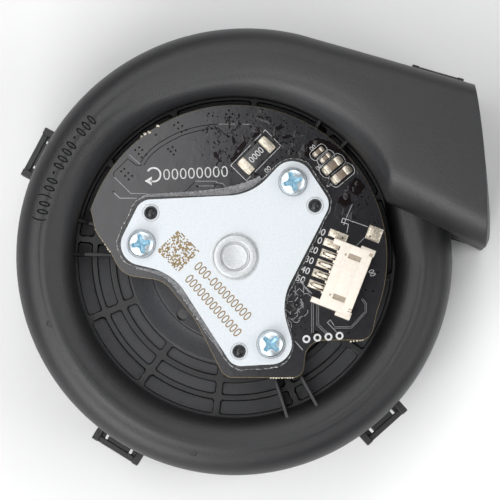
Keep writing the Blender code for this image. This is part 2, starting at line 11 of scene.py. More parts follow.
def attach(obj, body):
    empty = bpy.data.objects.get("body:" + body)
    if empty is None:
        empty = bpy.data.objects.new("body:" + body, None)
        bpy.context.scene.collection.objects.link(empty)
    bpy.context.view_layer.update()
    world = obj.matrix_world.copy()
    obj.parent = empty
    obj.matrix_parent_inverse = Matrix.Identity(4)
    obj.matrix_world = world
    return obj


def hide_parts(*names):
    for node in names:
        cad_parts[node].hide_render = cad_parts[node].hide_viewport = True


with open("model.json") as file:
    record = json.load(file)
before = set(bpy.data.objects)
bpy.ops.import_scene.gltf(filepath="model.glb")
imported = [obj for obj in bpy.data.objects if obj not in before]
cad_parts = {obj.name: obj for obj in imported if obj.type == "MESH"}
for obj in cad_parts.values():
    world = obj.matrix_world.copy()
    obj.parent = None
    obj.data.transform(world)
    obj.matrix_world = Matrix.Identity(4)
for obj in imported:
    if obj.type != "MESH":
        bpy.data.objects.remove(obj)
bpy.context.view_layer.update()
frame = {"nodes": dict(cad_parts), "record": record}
random.seed(11)

# ------------------------------------------------------------- dimensions, mm
AX, AY = -3.27, -0.776
RING_R, GROWTH, WALL, BOWL_R, SEAM = 39.8, 2.06, 1.6, 29.3, 14.0
CREST_0, RISE, CREST_END = 22.5, 0.0451, 38.0
END_DEG = -286.1
OUT_N_DEG, OUT_D = 73.9, 41.86
TON_N_DEG, TON_D = 64.8, 20.83
MOUTH_TOP, MOUTH_LOW, BULGE = (43.45, 31.0), (45.45, 1.56), 0.75
FLOOR = 18.0
BOARD_Z, BOARD_R = 24.8, 27.7
PLATE_Z0, PLATE_Z1 = 25.7, 26.9
SCREW_R, POST_R = 17.2, 17.25
SCREW_DEG, POST_DEG = (52.3, 172.3, 292.3), (32.5, 152.5, 272.5)
HEADER, HEADER_DEG = (19.6, -3.7), -21.2


def pol(r, deg):
    return (r * math.cos(math.radians(deg)), r * math.sin(math.radians(deg)))


def px(u, v):
    """Plan point from a 5.5 per mm drawing grid with its axis at (235, 256.6)."""
    return ((u - 235.0) / 5.5, (256.6 - v) / 5.5)


OUT_N, TON_N = pol(1, OUT_N_DEG), pol(1, TON_N_DEG)


# ------------------------------------------------------------------ materials
def base_nodes(name):
    mat = bpy.data.materials.new(name)
    mat.use_nodes = True
    nt = mat.node_tree
    return mat, nt, nt.nodes["Principled BSDF"]


def coords(nt):
    return nt.nodes.new("ShaderNodeTexCoord").outputs["Object"]


def noise_tex(nt, vec, scale, detail=4.0, rough=0.55):
    n = nt.nodes.new("ShaderNodeTexNoise")
    n.inputs["Scale"].default_value = scale
    n.inputs["Detail"].default_value = detail
    n.inputs["Roughness"].default_value = rough
    nt.links.new(vec, n.inputs["Vector"])
    return n.outputs["Fac"]


def ramp(nt, fac, stops):
    r = nt.nodes.new("ShaderNodeValToRGB")
    el = r.color_ramp.elements
    while len(el) < len(stops):
        el.new(0.5)
    for e, (p, c) in zip(el, stops):
        e.position = p
        e.color = (*c, 1.0) if len(c) == 3 else c
    nt.links.new(fac, r.inputs["Fac"])
    return r.outputs["Color"]


def maprange(nt, fac, a, b, c, d):
    m = nt.nodes.new("ShaderNodeMapRange")
    for k, v in zip(("From Min", "From Max", "To Min", "To Max"), (a, b, c, d)):
        m.inputs[k].default_value = v
    nt.links.new(fac, m.inputs["Value"])
    return m.outputs["Result"]


def bump(nt, shader, heights):
    """heights: (socket, strength, distance in metres), chained."""
    last = None
    for h, strength, dist in heights:
        b = nt.nodes.new("ShaderNodeBump")
        b.inputs["Strength"].default_value = strength
        b.inputs["Distance"].default_value = dist
        nt.links.new(h, b.inputs["Height"])
        if last:
            nt.links.new(last, b.inputs["Normal"])
        last = b.outputs["Normal"]
    nt.links.new(last, shader.inputs["Normal"])


def simple(name, dark, light, rough, metal=0.0, vary=900.0, grain=7000.0, gb=0.25, gd=1.5e-5,
           coat=0.0, coat_rough=0.1, specular=0.5, lump=0.0, ior=1.5, sub=0.0):
    mat, nt, s = base_nodes(name)
    v = coords(nt)
    n1 = noise_tex(nt, v, vary, 5)
    nt.links.new(ramp(nt, n1, [(0.3, dark), (0.7, light)]), s.inputs["Base Color"])
    n2 = noise_tex(nt, v, vary * 2.7, 6, 0.65)
    nt.links.new(maprange(nt, n2, 0.3, 0.7, rough[0], rough[1]), s.inputs["Roughness"])
    s.inputs["Metallic"].default_value = metal
    s.inputs["Coat Weight"].default_value = coat
    s.inputs["Coat Roughness"].default_value = coat_rough
    s.inputs["Specular IOR Level"].default_value = specular
    s.inputs["IOR"].default_value = ior
    s.inputs["Subsurface Weight"].default_value = sub
    hs = [(noise_tex(nt, v, grain, 3, 0.6), gb, gd)]
    if lump:
        hs.append((noise_tex(nt, v, grain / 12, 2, 0.5), lump, 6e-5))
    bump(nt, s, hs)
    return mat


M = {}
M["charcoal"] = simple("charcoal", (0.0022, 0.0023, 0.0028), (0.0125, 0.0127, 0.0146), (0.38, 0.52),
                       vary=5200, grain=3600, gb=1.0, gd=8.5e-5, lump=0.10, specular=0.60)
M["bowl"] = simple("bowl_gloss", (0.0055, 0.0057, 0.0066), (0.0105, 0.0108, 0.0125), (0.30, 0.42), vary=2600,
                   grain=4200, gb=0.35, gd=2e-5, specular=0.50)
M["pad"] = simple("bowl_pad", (0.022, 0.0225, 0.0260), (0.062, 0.063, 0.069), (0.42, 0.58), vary=6000,
                  grain=6000, gb=0.6, gd=2.4e-5, specular=0.42)
# lighter matte copy of the bowl plastic for the central dome and disc: painted light that lifts them out of their shade
M["slope"] = simple("bowl_slope", (0.030, 0.0305, 0.034), (0.050, 0.051, 0.056), (0.45, 0.6), vary=2400,
                    grain=5000, gb=0.3, gd=2e-5, specular=0.35)
# darker, barely reflective copy of the housing plastic for the raised moulded lettering: the matte finish is real, the
# darkness is painted shade
M["engraved"] = simple("engraved", (0.0030, 0.0030, 0.0034), (0.006, 0.006, 0.0066), (0.6, 0.8), vary=3000,
                       specular=0.06)
M["zinc"] = simple("zinc", (0.520, 0.555, 0.585), (0.600, 0.630, 0.655), (0.42, 0.55), metal=0.20, vary=3200,
                   grain=5200, gb=0.30, gd=1.8e-5, lump=0.06)
M["boss"] = simple("boss", (0.46, 0.475, 0.485), (0.58, 0.595, 0.60), (0.34, 0.46), metal=0.45, vary=2200,
                   grain=5000, gb=0.2, gd=1.2e-5)
M["screw"] = simple("screw", (0.50, 0.575, 0.625), (0.70, 0.755, 0.79), (0.24, 0.36), metal=0.8, vary=1800,
                    grain=4000, gb=0.25, gd=2e-5)
# cross recess: the blue is the plating's tint; this lighter, less metallic copy of the plating paints the light
# reflected inside the recess
M["recess"] = simple("recess", (0.17, 0.38, 0.50), (0.50, 0.70, 0.80), (0.28, 0.42), metal=0.25, vary=3600,
                     grain=3500, gb=0.6, gd=5e-5)
M["fr4"] = simple("fr4", (0.20, 0.145, 0.06), (0.46, 0.36, 0.18), (0.5, 0.7), vary=5200, grain=8000, gb=0.5)
M["fr4_burr"] = simple("fr4_burr", (0.62, 0.56, 0.42), (0.92, 0.88, 0.76), (0.5, 0.7), vary=5200, grain=8000)
M["silk"] = simple("silk", (0.40, 0.40, 0.40), (0.66, 0.66, 0.66), (0.5, 0.65), vary=4500, grain=9000, gb=0.4)
M["logo_silk"] = simple("logo_silk", (0.42, 0.42, 0.42), (0.54, 0.54, 0.54), (0.5, 0.6), vary=4500, grain=9000)
M["cream"] = simple("cream", (0.66, 0.60, 0.52), (0.73, 0.675, 0.60), (0.38, 0.5), vary=1700, grain=6500,
                    gb=0.18)
# darker copy of the cream plastic: painted shade inside the header's windows and small holes
M["cream_dark"] = simple("cream_dark", (0.26, 0.215, 0.16), (0.36, 0.30, 0.235), (0.5, 0.6), vary=1700)
M["tin"] = simple("tin", (0.46, 0.40, 0.31), (0.82, 0.76, 0.66), (0.20, 0.36), metal=0.45, vary=3200,
                  grain=2600, gb=0.5, gd=5e-5)
M["flux"] = simple("flux", (0.34, 0.26, 0.16), (0.86, 0.81, 0.72), (0.12, 0.26), metal=0.45, vary=3000,
                   grain=2600, gb=0.7, gd=8e-5)
M["ceramic"] = simple("ceramic", (0.135, 0.100, 0.072), (0.215, 0.165, 0.125), (0.28, 0.4), vary=2200, grain=6500)
M["epoxy"] = simple("epoxy", (0.012, 0.012, 0.013), (0.024, 0.024, 0.026), (0.3, 0.45), vary=3800, grain=9000,
                    gb=0.5, coat=0.25)
M["steel"] = simple("steel", (0.45, 0.45, 0.46), (0.68, 0.68, 0.69), (0.2, 0.35), metal=1.0, vary=1200)
M["brass"] = simple("brass", (0.50, 0.34, 0.13), (0.74, 0.54, 0.25), (0.25, 0.4), metal=1.0, vary=1200)
# stator lamination steel; also used for the painted shadow rings round posts, screws and boss
M["lamination"] = simple("lamination", (0.16, 0.16, 0.17), (0.36, 0.36, 0.38), (0.35, 0.5), metal=1.0)
M["copper"] = simple("copper", (0.46, 0.15, 0.05), (0.74, 0.32, 0.12), (0.2, 0.35), metal=1.0, vary=1600,
                     coat=0.5)
M["nylon"] = simple("nylon", (0.70, 0.67, 0.60), (0.82, 0.79, 0.72), (0.4, 0.55))
M["magnet"] = simple("magnet", (0.04, 0.04, 0.042), (0.09, 0.09, 0.095), (0.5, 0.7), metal=0.2)
M["rotor_plastic"] = simple("rotor_plastic", (0.020, 0.020, 0.022), (0.038, 0.038, 0.041), (0.34, 0.48),
                            vary=2600, grain=8000, gb=0.35)
M["trace"] = simple("trace", (0.020, 0.0205, 0.0225), (0.034, 0.0345, 0.0375), (0.16, 0.26), vary=1800,
                    grain=3000, gb=0.05, coat=0.4)
# painted highlight: pale lines along the lit edges of raised tracks
M["edge_line"] = simple("edge_line", (0.20, 0.20, 0.21), (0.36, 0.36, 0.375), (0.3, 0.4), vary=3500)
# near-black, almost unreflective: painted shade beside tracks, in vias, pad holes and lead pockets; also the own colour
# of the dark coat specks
M["groove"] = simple("groove", (0.003, 0.003, 0.0035), (0.007, 0.007, 0.008), (0.7, 0.9), vary=1800, specular=0.04)
M["laser"] = simple("laser", (0.115, 0.075, 0.025), (0.30, 0.205, 0.080), (0.5, 0.65), vary=5000, grain=8000)
M["coatlump"] = simple("coatlump", (0.004, 0.003, 0.0035), (0.012, 0.009, 0.010), (0.16, 0.30), vary=1500,
                       grain=2600, gb=0.25, gd=2e-5, coat=0.15, coat_rough=0.1, specular=0.35)
M["coat_pool"] = simple("coat_pool", (0.0045, 0.0028, 0.0030), (0.0105, 0.0065, 0.0068), (0.10, 0.2), vary=1500,
                        grain=2600, gb=0.1, gd=1e-5, specular=0.12)


def board_material():
    """Glossy black solder mask under a conformal coat that pools and crawls."""
    mat, nt, s = base_nodes("board")
    v = coords(nt)
    n1 = noise_tex(nt, v, 700, 5)
    nt.links.new(ramp(nt, n1, [(0.25, (0.0088, 0.0087, 0.0108)), (0.75, (0.0150, 0.0148, 0.0180))]),
                 s.inputs["Base Color"])
    nt.links.new(maprange(nt, noise_tex(nt, v, 2100, 6, 0.6), 0.3, 0.7, 0.13, 0.20), s.inputs["Roughness"])
    s.inputs["Coat Weight"].default_value = 0.40
    s.inputs["Coat Roughness"].default_value = 0.12
    mask = maprange(nt, noise_tex(nt, v, 300, 3), 0.48, 0.62, 0.0, 1.0)
    lump = noise_tex(nt, v, 1500, 4, 0.6)
    mul = nt.nodes.new("ShaderNodeMath")
    mul.operation = 'MULTIPLY'
    nt.links.new(mask, mul.inputs[0])
    nt.links.new(lump, mul.inputs[1])
    bump(nt, s, [(mul.outputs[0], 0.20, 6e-5), (noise_tex(nt, v, 6000, 3), 0.06, 1e-5)])
    return mat


def film_material(name, stops, rough):
    """Frosted insulating film; the bright specks in its colour are painted glints of light, which crowd along its edge.
    """
    mat, nt, s = base_nodes(name)
    v = coords(nt)
    nt.links.new(ramp(nt, noise_tex(nt, v, 2300, 7, 0.78), stops), s.inputs["Base Color"])
    nt.links.new(maprange(nt, noise_tex(nt, v, 2600, 6), 0.3, 0.7, *rough), s.inputs["Roughness"])
    s.inputs["Coat Weight"].default_value = 0.4
    s.inputs["Coat Roughness"].default_value = 0.2
    bump(nt, s, [(noise_tex(nt, v, 1700, 6, 0.75), 0.7, 9e-5), (noise_tex(nt, v, 7000, 3), 0.4, 3e-5)])
    return mat


def table_material():
    mat, nt, s = base_nodes("table")
    v = coords(nt)
    # the colour is painted lighter from left to right to even out the falloff of the left lamp: painted shade on the
    # left, painted light on the right
    sep = nt.nodes.new("ShaderNodeSeparateXYZ")
    nt.links.new(v, sep.inputs[0])
    add = nt.nodes.new("ShaderNodeMath")
    add.operation = "MULTIPLY_ADD"
    nt.links.new(noise_tex(nt, v, 14, 3), add.inputs[0])
    add.inputs[1].default_value = 0.06
    nt.links.new(maprange(nt, sep.outputs[0], -0.045, 0.05, 0.0, 1.0), add.inputs[2])
    nt.links.new(ramp(nt, add.outputs[0], [(0.0, (0.695, 0.695, 0.698)), (1.0, (0.86, 0.86, 0.863))]),
                 s.inputs["Base Color"])
    s.inputs["Roughness"].default_value = 0.75
    s.inputs["Specular IOR Level"].default_value = 0.2
    return mat


M["board"] = board_material()
# the film's dark tone is partly its own and partly painted shadow beside the plate's edge; the pale top stops paint
# glints
M["film"] = film_material("film", [(0.42, (0.006, 0.006, 0.007)), (0.56, (0.018, 0.018, 0.020)),
                                  (0.66, (0.07, 0.07, 0.074)), (0.76, (0.50, 0.50, 0.49))], (0.14, 0.34))
M["film_edge"] = film_material("film_edge", [(0.42, (0.020, 0.020, 0.022)), (0.52, (0.16, 0.16, 0.165)),
                                             (0.62, (0.70, 0.70, 0.69))], (0.12, 0.30))
M["film_clear"] = film_material("film_clear", [(0.30, (0.050, 0.050, 0.053)), (0.45, (0.135, 0.135, 0.141)),
                                               (0.62, (0.26, 0.26, 0.267)), (0.80, (0.50, 0.50, 0.49))],
                                (0.35, 0.55))


# -------------------------------------------------------------------- helpers
def to_frame(co):
    return ((co[0] + AX) * 1e-3, (co[1] + AY) * 1e-3, co[2] * 1e-3)


def piece(name, verts, faces, mats, nodes=(), body="housing", angle=35.0, index=None,
          bevel=0.0, segments=2, recalc=True):
    """A piece from millimetre points about the motor axis."""
    mesh = bpy.data.meshes.new(name)
    mesh.from_pydata([to_frame(v) for v in verts], [], faces)
    for m in (mats if isinstance(mats, (list, tuple)) else [mats]):
        mesh.materials.append(M[m])
    if index is not None:
        mesh.polygons.foreach_set("material_index", index)
    if recalc:
        bm = bmesh.new()
        bm.from_mesh(mesh)
        bmesh.ops.recalc_face_normals(bm, faces=bm.faces)
        bm.to_mesh(mesh)
        bm.free()
    obj = bpy.data.objects.new(name, mesh)
    bpy.context.scene.collection.objects.link(obj)
    finish_piece(obj, nodes, body, angle, bevel, segments)
    return obj


def finish_piece(obj, nodes=(), body="housing", angle=35.0, bevel=0.0, segments=2):
    obj.data.shade_smooth()
    obj.data.set_sharp_from_angle(angle=math.radians(angle))
    if bevel:
        b = obj.modifiers.new("Bevel", 'BEVEL')
        b.width = bevel * 1e-3
        b.segments = segments
        b.limit_method = 'ANGLE'
        b.angle_limit = math.radians(40)
        b.harden_normals = True
    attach(obj, body)
    if nodes:
        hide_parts(*nodes)
    return obj


def from_bm(name, bm, mats, nodes=(), body="housing", angle=35.0, bevel=0.0, segments=2):
    bmesh.ops.recalc_face_normals(bm, faces=bm.faces)
    for v in bm.verts:
        v.co = Vector(to_frame(v.co))
    mesh = bpy.data.meshes.new(name)
    bm.to_mesh(mesh)
    bm.free()
    for m in (mats if isinstance(mats, (list, tuple)) else [mats]):
        mesh.materials.append(M[m])
    obj = bpy.data.objects.new(name, mesh)
    bpy.context.scene.collection.objects.link(obj)
    return finish_piece(obj, nodes, body, angle, bevel, segments)


def turned_bm(profile, steps=96, cx=0.0, cy=0.0, closed=True, bm=None):
    """Profile of (radius, z); closed loops, or open ones with both ends on the axis."""
    bm = bm or bmesh.new()
    rings = []
    for r, z in profile:
        if r < 1e-6:
            rings.append([bm.verts.new((cx, cy, z))])
        else:
            rings.append([bm.verts.new((cx + r * math.cos(math.tau * i / steps),
                                        cy + r * math.sin(math.tau * i / steps), z)) for i in range(steps)])
    pairs = list(zip(rings, rings[1:])) + ([(rings[-1], rings[0])] if closed else [])
    for a, b in pairs:
        for i in range(steps):
            j = (i + 1) % steps
            if len(a) == 1 and len(b) == 1:
                continue
            if len(a) == 1:
                bm.faces.new((a[0], b[i], b[j]))
            elif len(b) == 1:
                bm.faces.new((a[i], a[j], b[0]))
            else:
                bm.faces.new((a[i], a[j], b[j], b[i]))
    return bm


def prism_bm(outline, z0, z1, bm=None):
    bm = bm or bmesh.new()
    low = [bm.verts.new((x, y, z0)) for x, y in outline]
    high = [bm.verts.new((x, y, z1)) for x, y in outline]
    n = len(outline)
    for i in range(n):
        j = (i + 1) % n
        bm.faces.new((low[i], low[j], high[j], high[i]))
    bm.faces.new(low[::-1])
    bm.faces.new(high)
    return bm


def plate_obj(name, outlines, z0, z1, mats, nodes=(), bevel=0.0, segments=2, angle=35.0):
    """A flat piece with holes, from a filled 2D curve."""
    curve = bpy.data.curves.new(name, 'CURVE')
    curve.dimensions = '2D'
    curve.fill_mode = 'BOTH'
    curve.extrude = (z1 - z0) / 2
    for outline in outlines:
        sp = curve.splines.new('POLY')
        sp.points.add(len(outline) - 1)
        for p, (x, y) in zip(sp.points, outline):
            p.co = (x, y, 0, 1)
        sp.use_cyclic_u = True
    src = bpy.data.objects.new(name, curve)
    bpy.context.scene.collection.objects.link(src)
    bpy.context.view_layer.update()
    mesh = bpy.data.meshes.new_from_object(src.evaluated_get(bpy.context.evaluated_depsgraph_get()))
    bpy.data.objects.remove(src, do_unlink=True)
    bm = bmesh.new()
    bm.from_mesh(mesh)
    bmesh.ops.remove_doubles(bm, verts=bm.verts, dist=1e-5)
    bmesh.ops.translate(bm, vec=(0, 0, (z0 + z1) / 2), verts=bm.verts)
    return from_bm(name, bm, mats, nodes, angle=angle, bevel=bevel, segments=segments)


def circle(r, seg=64, cx=0.0, cy=0.0):
    return [(cx + r * math.cos(math.tau * i / seg), cy + r * math.sin(math.tau * i / seg))
            for i in range(seg)]


def box_bm(cx, cy, z0, z1, dx, dy, deg=0.0, bm=None, bevel=0.0, seg=2):
    bm = bm or bmesh.new()
    made = bmesh.ops.create_cube(bm, size=1.0)["verts"]
    bmesh.ops.scale(bm, vec=(dx, dy, z1 - z0), verts=made)
    if bevel:
        edges = list({e for v in made for e in v.link_edges})
        out = bmesh.ops.bevel(bm, geom=edges, offset=bevel, segments=seg, affect='EDGES', profile=0.5)
        made = list({v for f in out["faces"] for v in f.verts} | {v for v in made if v.is_valid})
    bmesh.ops.rotate(bm, matrix=Matrix.Rotation(math.radians(deg), 3, 'Z'), verts=made)
    bmesh.ops.translate(bm, vec=(cx, cy, (z0 + z1) / 2), verts=made)
    return bm


def filleted(corners, steps=16):
    points = []
    n = len(corners)
    for i in range(n):
        x, y, r = corners[i]
        here = Vector((x, y))
        a = (Vector(corners[i - 1][:2]) - here).normalized()
        b = (Vector(corners[(i + 1) % n][:2]) - here).normalized()
        half = math.acos(max(-1, min(1, a.dot(b)))) / 2
        if r <= 0 or half > 1.55:
            points.append((x, y))
            continue
        reach = r / math.tan(half)
        centre = here + (a + b).normalized() * (r / math.sin(half))
        s, e = here + a * reach - centre, here + b * reach - centre
        sweep = math.atan2(s.x * e.y - s.y * e.x, s.dot(e))
        for k in range(steps + 1):
            t = sweep * k / steps
            points.append((centre.x + s.x * math.cos(t) - s.y * math.sin(t),
                           centre.y + s.x * math.sin(t) + s.y * math.cos(t)))
    return points


def offset(outline, d):
    """Outline moved inwards by d (outline runs either way)."""
    n = len(outline)
    area = sum(outline[i][0] * outline[(i + 1) % n][1] - outline[(i + 1) % n][0] * outline[i][1]
               for i in range(n))
    s = 1 if area > 0 else -1
    out = []
    for i in range(n):
        p, q = Vector(outline[i - 1]), Vector(outline[(i + 1) % n])
        t = (q - p).normalized()
        out.append((outline[i][0] - t.y * d * s, outline[i][1] + t.x * d * s))
    return out


def ribbon_bm(points, width, z, closed=False, bm=None, thick=0.03):
    """A thin raised line."""
    bm = bm or bmesh.new()
    n = len(points)
    left, right = [], []
    for i in range(n):
        p = Vector(points[i])
        a = Vector(points[i - 1]) if (i or closed) else p
        b = Vector(points[(i + 1) % n]) if (i < n - 1 or closed) else p
        t1 = (p - a).normalized() if (p - a).length > 1e-9 else (b - p).normalized()
        t2 = (b - p).normalized() if (b - p).length > 1e-9 else t1
        t = (t1 + t2).normalized()
        nrm = Vector((-t.y, t.x))
        cosv = max(0.4, nrm.dot(Vector((-t1.y, t1.x))))
        w = width / 2 / cosv
        left.append(p + nrm * w)
        right.append(p - nrm * w)
    lo = [[bm.verts.new((q.x, q.y, z)) for q in side] for side in (left, right)]
    hi = [[bm.verts.new((q.x, q.y, z + thick)) for q in side] for side in (left, right)]
    for i in range(n if closed else n - 1):
        j = (i + 1) % n
        bm.faces.new((hi[1][i], hi[1][j], hi[0][j], hi[0][i]))
        bm.faces.new((lo[0][i], lo[0][j], lo[1][j], lo[1][i]))
        bm.faces.new((lo[1][i], lo[1][j], hi[1][j], hi[1][i]))
        bm.faces.new((hi[0][i], hi[0][j], lo[0][j], lo[0][i]))
    if not closed:
        for k in (0, n - 1):
            bm.faces.new((lo[0][k], lo[1][k], hi[1][k], hi[0][k]))
    return bm


def text_obj(name, body_text, at, deg, size, z, mat, width=1.0, thick=0.02, bold=0.0, lift=None,
             spacing=1.0, align='CENTER'):
    """Generic lettering as a thin mesh; lift(x, y) gives the surface height."""
    cu = bpy.data.curves.new(name, 'FONT')
    cu.body = body_text
    cu.size = size
    cu.align_x = align
    cu.align_y = 'CENTER'
    cu.extrude = thick / 2
    cu.offset = bold
    cu.space_character = spacing
    cu.resolution_u = 4
    src = bpy.data.objects.new(name, cu)
    bpy.context.scene.collection.objects.link(src)
    bpy.context.view_layer.update()
    mesh = bpy.data.meshes.new_from_object(src.evaluated_get(bpy.context.evaluated_depsgraph_get()))
    bpy.data.objects.remove(src, do_unlink=True)
    bm = bmesh.new()
    bm.from_mesh(mesh)
    bmesh.ops.scale(bm, vec=(width, 1, 1), verts=bm.verts)
    bmesh.ops.rotate(bm, matrix=Matrix.Rotation(math.radians(deg), 3, 'Z'), verts=bm.verts)
    bmesh.ops.translate(bm, vec=(at[0], at[1], z), verts=bm.verts)
    if lift:
        for v in bm.verts:
            v.co.z += lift(v.co.x, v.co.y)
    return from_bm(name, bm, mat)


# --------------------------------------------------------------- scroll shape
def ring_r(deg):
    turn = deg % 360
    grown = max(0.0, min(1.0, (150 - turn) / 76)) if 60 < turn < 150 else 0.0
    return RING_R + GROWTH * grown ** 1.3


def crest(deg):
    return CREST_0 + RISE * (20.0 - deg)


def tongue_deg(r, off=0.0):
    return TON_N_DEG - math.degrees(math.acos((TON_D + off) / r))


def mouth(t, inset=0.0, beyond=0.0):
    x0, y0 = MOUTH_LOW
    x1, y1 = MOUTH_TOP
    low = TON_N[0] * x0 + TON_N[1] * y0
    top = OUT_N[0] * x1 + OUT_N[1] * y1
    x0, y0 = x0 + TON_N[0] * (TON_D + inset - low), y0 + TON_N[1] * (TON_D + inset - low)
    x1, y1 = x1 + OUT_N[0] * (OUT_D - inset - top), y1 + OUT_N[1] * (OUT_D - inset - top)
    b = BULGE * 4 * t * (1 - t) + beyond
    return (x0 + (x1 - x0) * t + b * 0.9975, y0 + (y1 - y0) * t + b * 0.072)


def arch_profile(span, top, ri, ro, z0, steps=10, crown=8):
    """(distance across, z) of the duct's section from the bowl side outwards."""
    out = [(0.0, z0)]
    for k in range(steps + 1):
        a = math.pi / 2 * k / steps
        out.append((ri * (1 - math.cos(a)), top - 0.35 - ri * 1.25 * (1 - math.sin(a))))
    for k in range(1, crown + 1):
        f = k / (crown + 1)
        out.append((ri + (span - ri - ro) * f, top - 0.35 * (2 * f - 1) ** 2))
    for k in range(steps + 1):
        a = math.pi / 2 * k / steps
        out.append((span - ro * (1 - math.sin(a)), top - 0.35 - ro * 1.15 * (1 - math.cos(a))))
    out.append((span, z0))
    return out


def smooth(t):
    t = max(0.0, min(1.0, t))
    return t * t * (3 - 2 * t)


def inner_roll(deg):
    """Radius of the rounded shoulder next to the bowl."""
    if deg is None:
        return 4.3
    near = max(0.0, 1.0 - abs((deg % 360) - 104.0) / 34.0)
    return 4.3 - 1.5 * smooth(near)


def scroll_sections(inset, z0):
    rows = []
    degs = [None] + [x for x in np.arange(-1.0, END_DEG + 0.5, -2.0)]
    for d in degs:
        if d is None:
            inner = pol(BOWL_R + inset, tongue_deg(BOWL_R + inset, 0.9))
            outer = pol(RING_R - inset, tongue_deg(RING_R - inset, 0.9))
            top = crest(12.0)
        else:
            inner, outer = pol(BOWL_R + inset, d), pol(ring_r(d) - inset, d)
            top = crest(d)
        span = math.dist(inner, outer)
        k = [(w / span, z) for w, z in arch_profile(span, top - inset, inner_roll(d) - inset * .5,
                                                    4.0 - inset * .6, z0)]
        rows.append([(inner[0] + (outer[0] - inner[0]) * f, inner[1] + (outer[1] - inner[1]) * f, z)
                     for f, z in k])
    r_in = BOWL_R + inset
    end_deg = tongue_deg(r_in, inset)
    corner = pol(r_in, end_deg)
    m0, m1 = mouth(0.0, inset), mouth(1.0, inset)
    arc_len = math.radians(OUT_N_DEG - end_deg) * r_in
    line_len = math.dist(corner, m0)
    start = pol(OUT_D - inset, OUT_N_DEG)
    count = 70
    for k in range(count + 1):
        t = k / count
        run = t * (arc_len + line_len)
        # the inner edge follows the bowl wall's arc, then runs straight along the outlet wall to the mouth
        def inner_at(s):
            if s < arc_len:
                return pol(r_in, OUT_N_DEG - math.degrees(s / r_in))
            f = (s - arc_len) / line_len
            return (corner[0] + (m0[0] - corner[0]) * f, corner[1] + (m0[1] - corner[1]) * f)
        inner = inner_at(run)
        outer = (start[0] + (m1[0] - start[0]) * t, start[1] + (m1[1] - start[1]) * t)
        c0 = crest(END_DEG)
        top = c0 + (CREST_END - c0) * (1 - (1 - min(1, t / 0.9)) ** 2) - inset
        ri = inner_roll(END_DEG) + 2.9 * smooth(t * 2.1) - 1.0 * smooth((t - 0.55) * 2.2) - inset * .5
        span = math.dist(inner, outer)
        row = []
        for w, z in arch_profile(span, top, ri, 4.0 - inset * .6, z0):
            f = w / span
            b = BULGE * t ** 6 * 4 * f * (1 - f)
            row.append((inner[0] + (outer[0] - inner[0]) * f + b * .9975,
                        inner[1] + (outer[1] - inner[1]) * f + b * .072, z))
        rows.append(row)
    return rows


outer_rows = scroll_sections(0.0, SEAM + 0.15)
inner_rows = scroll_sections(WALL, SEAM + 0.15)
nv = len(outer_rows[0])
verts = [p for row in outer_rows for p in row] + [p for row in inner_rows for p in row]
R = len(outer_rows)
faces = []
base = R * nv
for i in range(R - 1):
    for j in range(nv - 1):
        a, b, c, d = i * nv + j, i * nv + j + 1, (i + 1) * nv + j + 1, (i + 1) * nv + j
        faces.append((a, b, c, d))
        faces.append((base + d, base + c, base + b, base + a))
    faces.append((i * nv, (i + 1) * nv, base + (i + 1) * nv, base + i * nv))
    e = nv - 1
    faces.append((i * nv + e, base + i * nv + e, base + (i + 1) * nv + e, (i + 1) * nv + e))
for i in (0, R - 1):
    for j in range(nv - 1):
        faces.append((i * nv + j, i * nv + j + 1, base + i * nv + j + 1, base + i * nv + j))
scroll = piece("scroll_duct", verts, faces, "charcoal", ["upper_housing"], angle=38, bevel=0.12)


def duct_z(x, y):
    """Height of the duct's outer skin over a plan point of the ring."""
    r = math.hypot(x, y)
    deg = math.degrees(math.atan2(y, x))
    while deg > 20:
        deg -= 360
    span = ring_r(deg) - BOWL_R
    prof = arch_profile(span, crest(deg), inner_roll(deg), 4.0, 14)
    w = r - BOWL_R
    for (w0, z0), (w1, z1) in zip(prof[1:-1], prof[2:-1]):
        if w0 <= w <= w1:
            return z0 + (z1 - z0) * (w - w0) / max(1e-6, w1 - w0)
    return crest(deg)


# ------------------------------------------------------------- bowl with pads
def pad_depth(r, deg):
    """0 on the lattice, 1 on the floor of a recess, eased at its edges."""
    k = (deg - 23.0) % 30.0 - 15.0
    best = 0.0
    for r0, r1 in ((19.85, 21.8), (22.9, 25.15), (26.2, 28.75)):
        rc, hr = (r0 + r1) / 2, (r1 - r0) / 2
        if abs(r - rc) > hr + 0.2:
            continue
        half = math.radians(15.0) * r - 0.62
        along = abs(math.radians(k) * r)
        cr = 0.55
        qx, qy = along - (half - cr), abs(r - rc) - (hr - cr)
        dist = math.hypot(max(qx, 0), max(qy, 0)) + min(max(qx, qy), 0) - cr
        best = max(best, smooth((-dist + 0.07) / 0.16))
    return best


def bowl_z(r, deg):
    if r >= 19.4:
        return FLOOR - 0.85 * pad_depth(r, deg)
    if r > 15.6:
        t = (19.4 - r) / 3.8
        return FLOOR + 2.75 * (0.25 * smooth(t) + 0.75 * t)
    z = 20.75
    if 15.38 < r < 15.6:
        z = 20.6
    ex, ey = pol(14.3, 227.5)
    x, y = pol(r, deg)
    d = math.hypot(x - ex, y - ey)
    if d < 1.0:
        z -= 0.55 * smooth((1.0 - d) / 0.16)
    return z


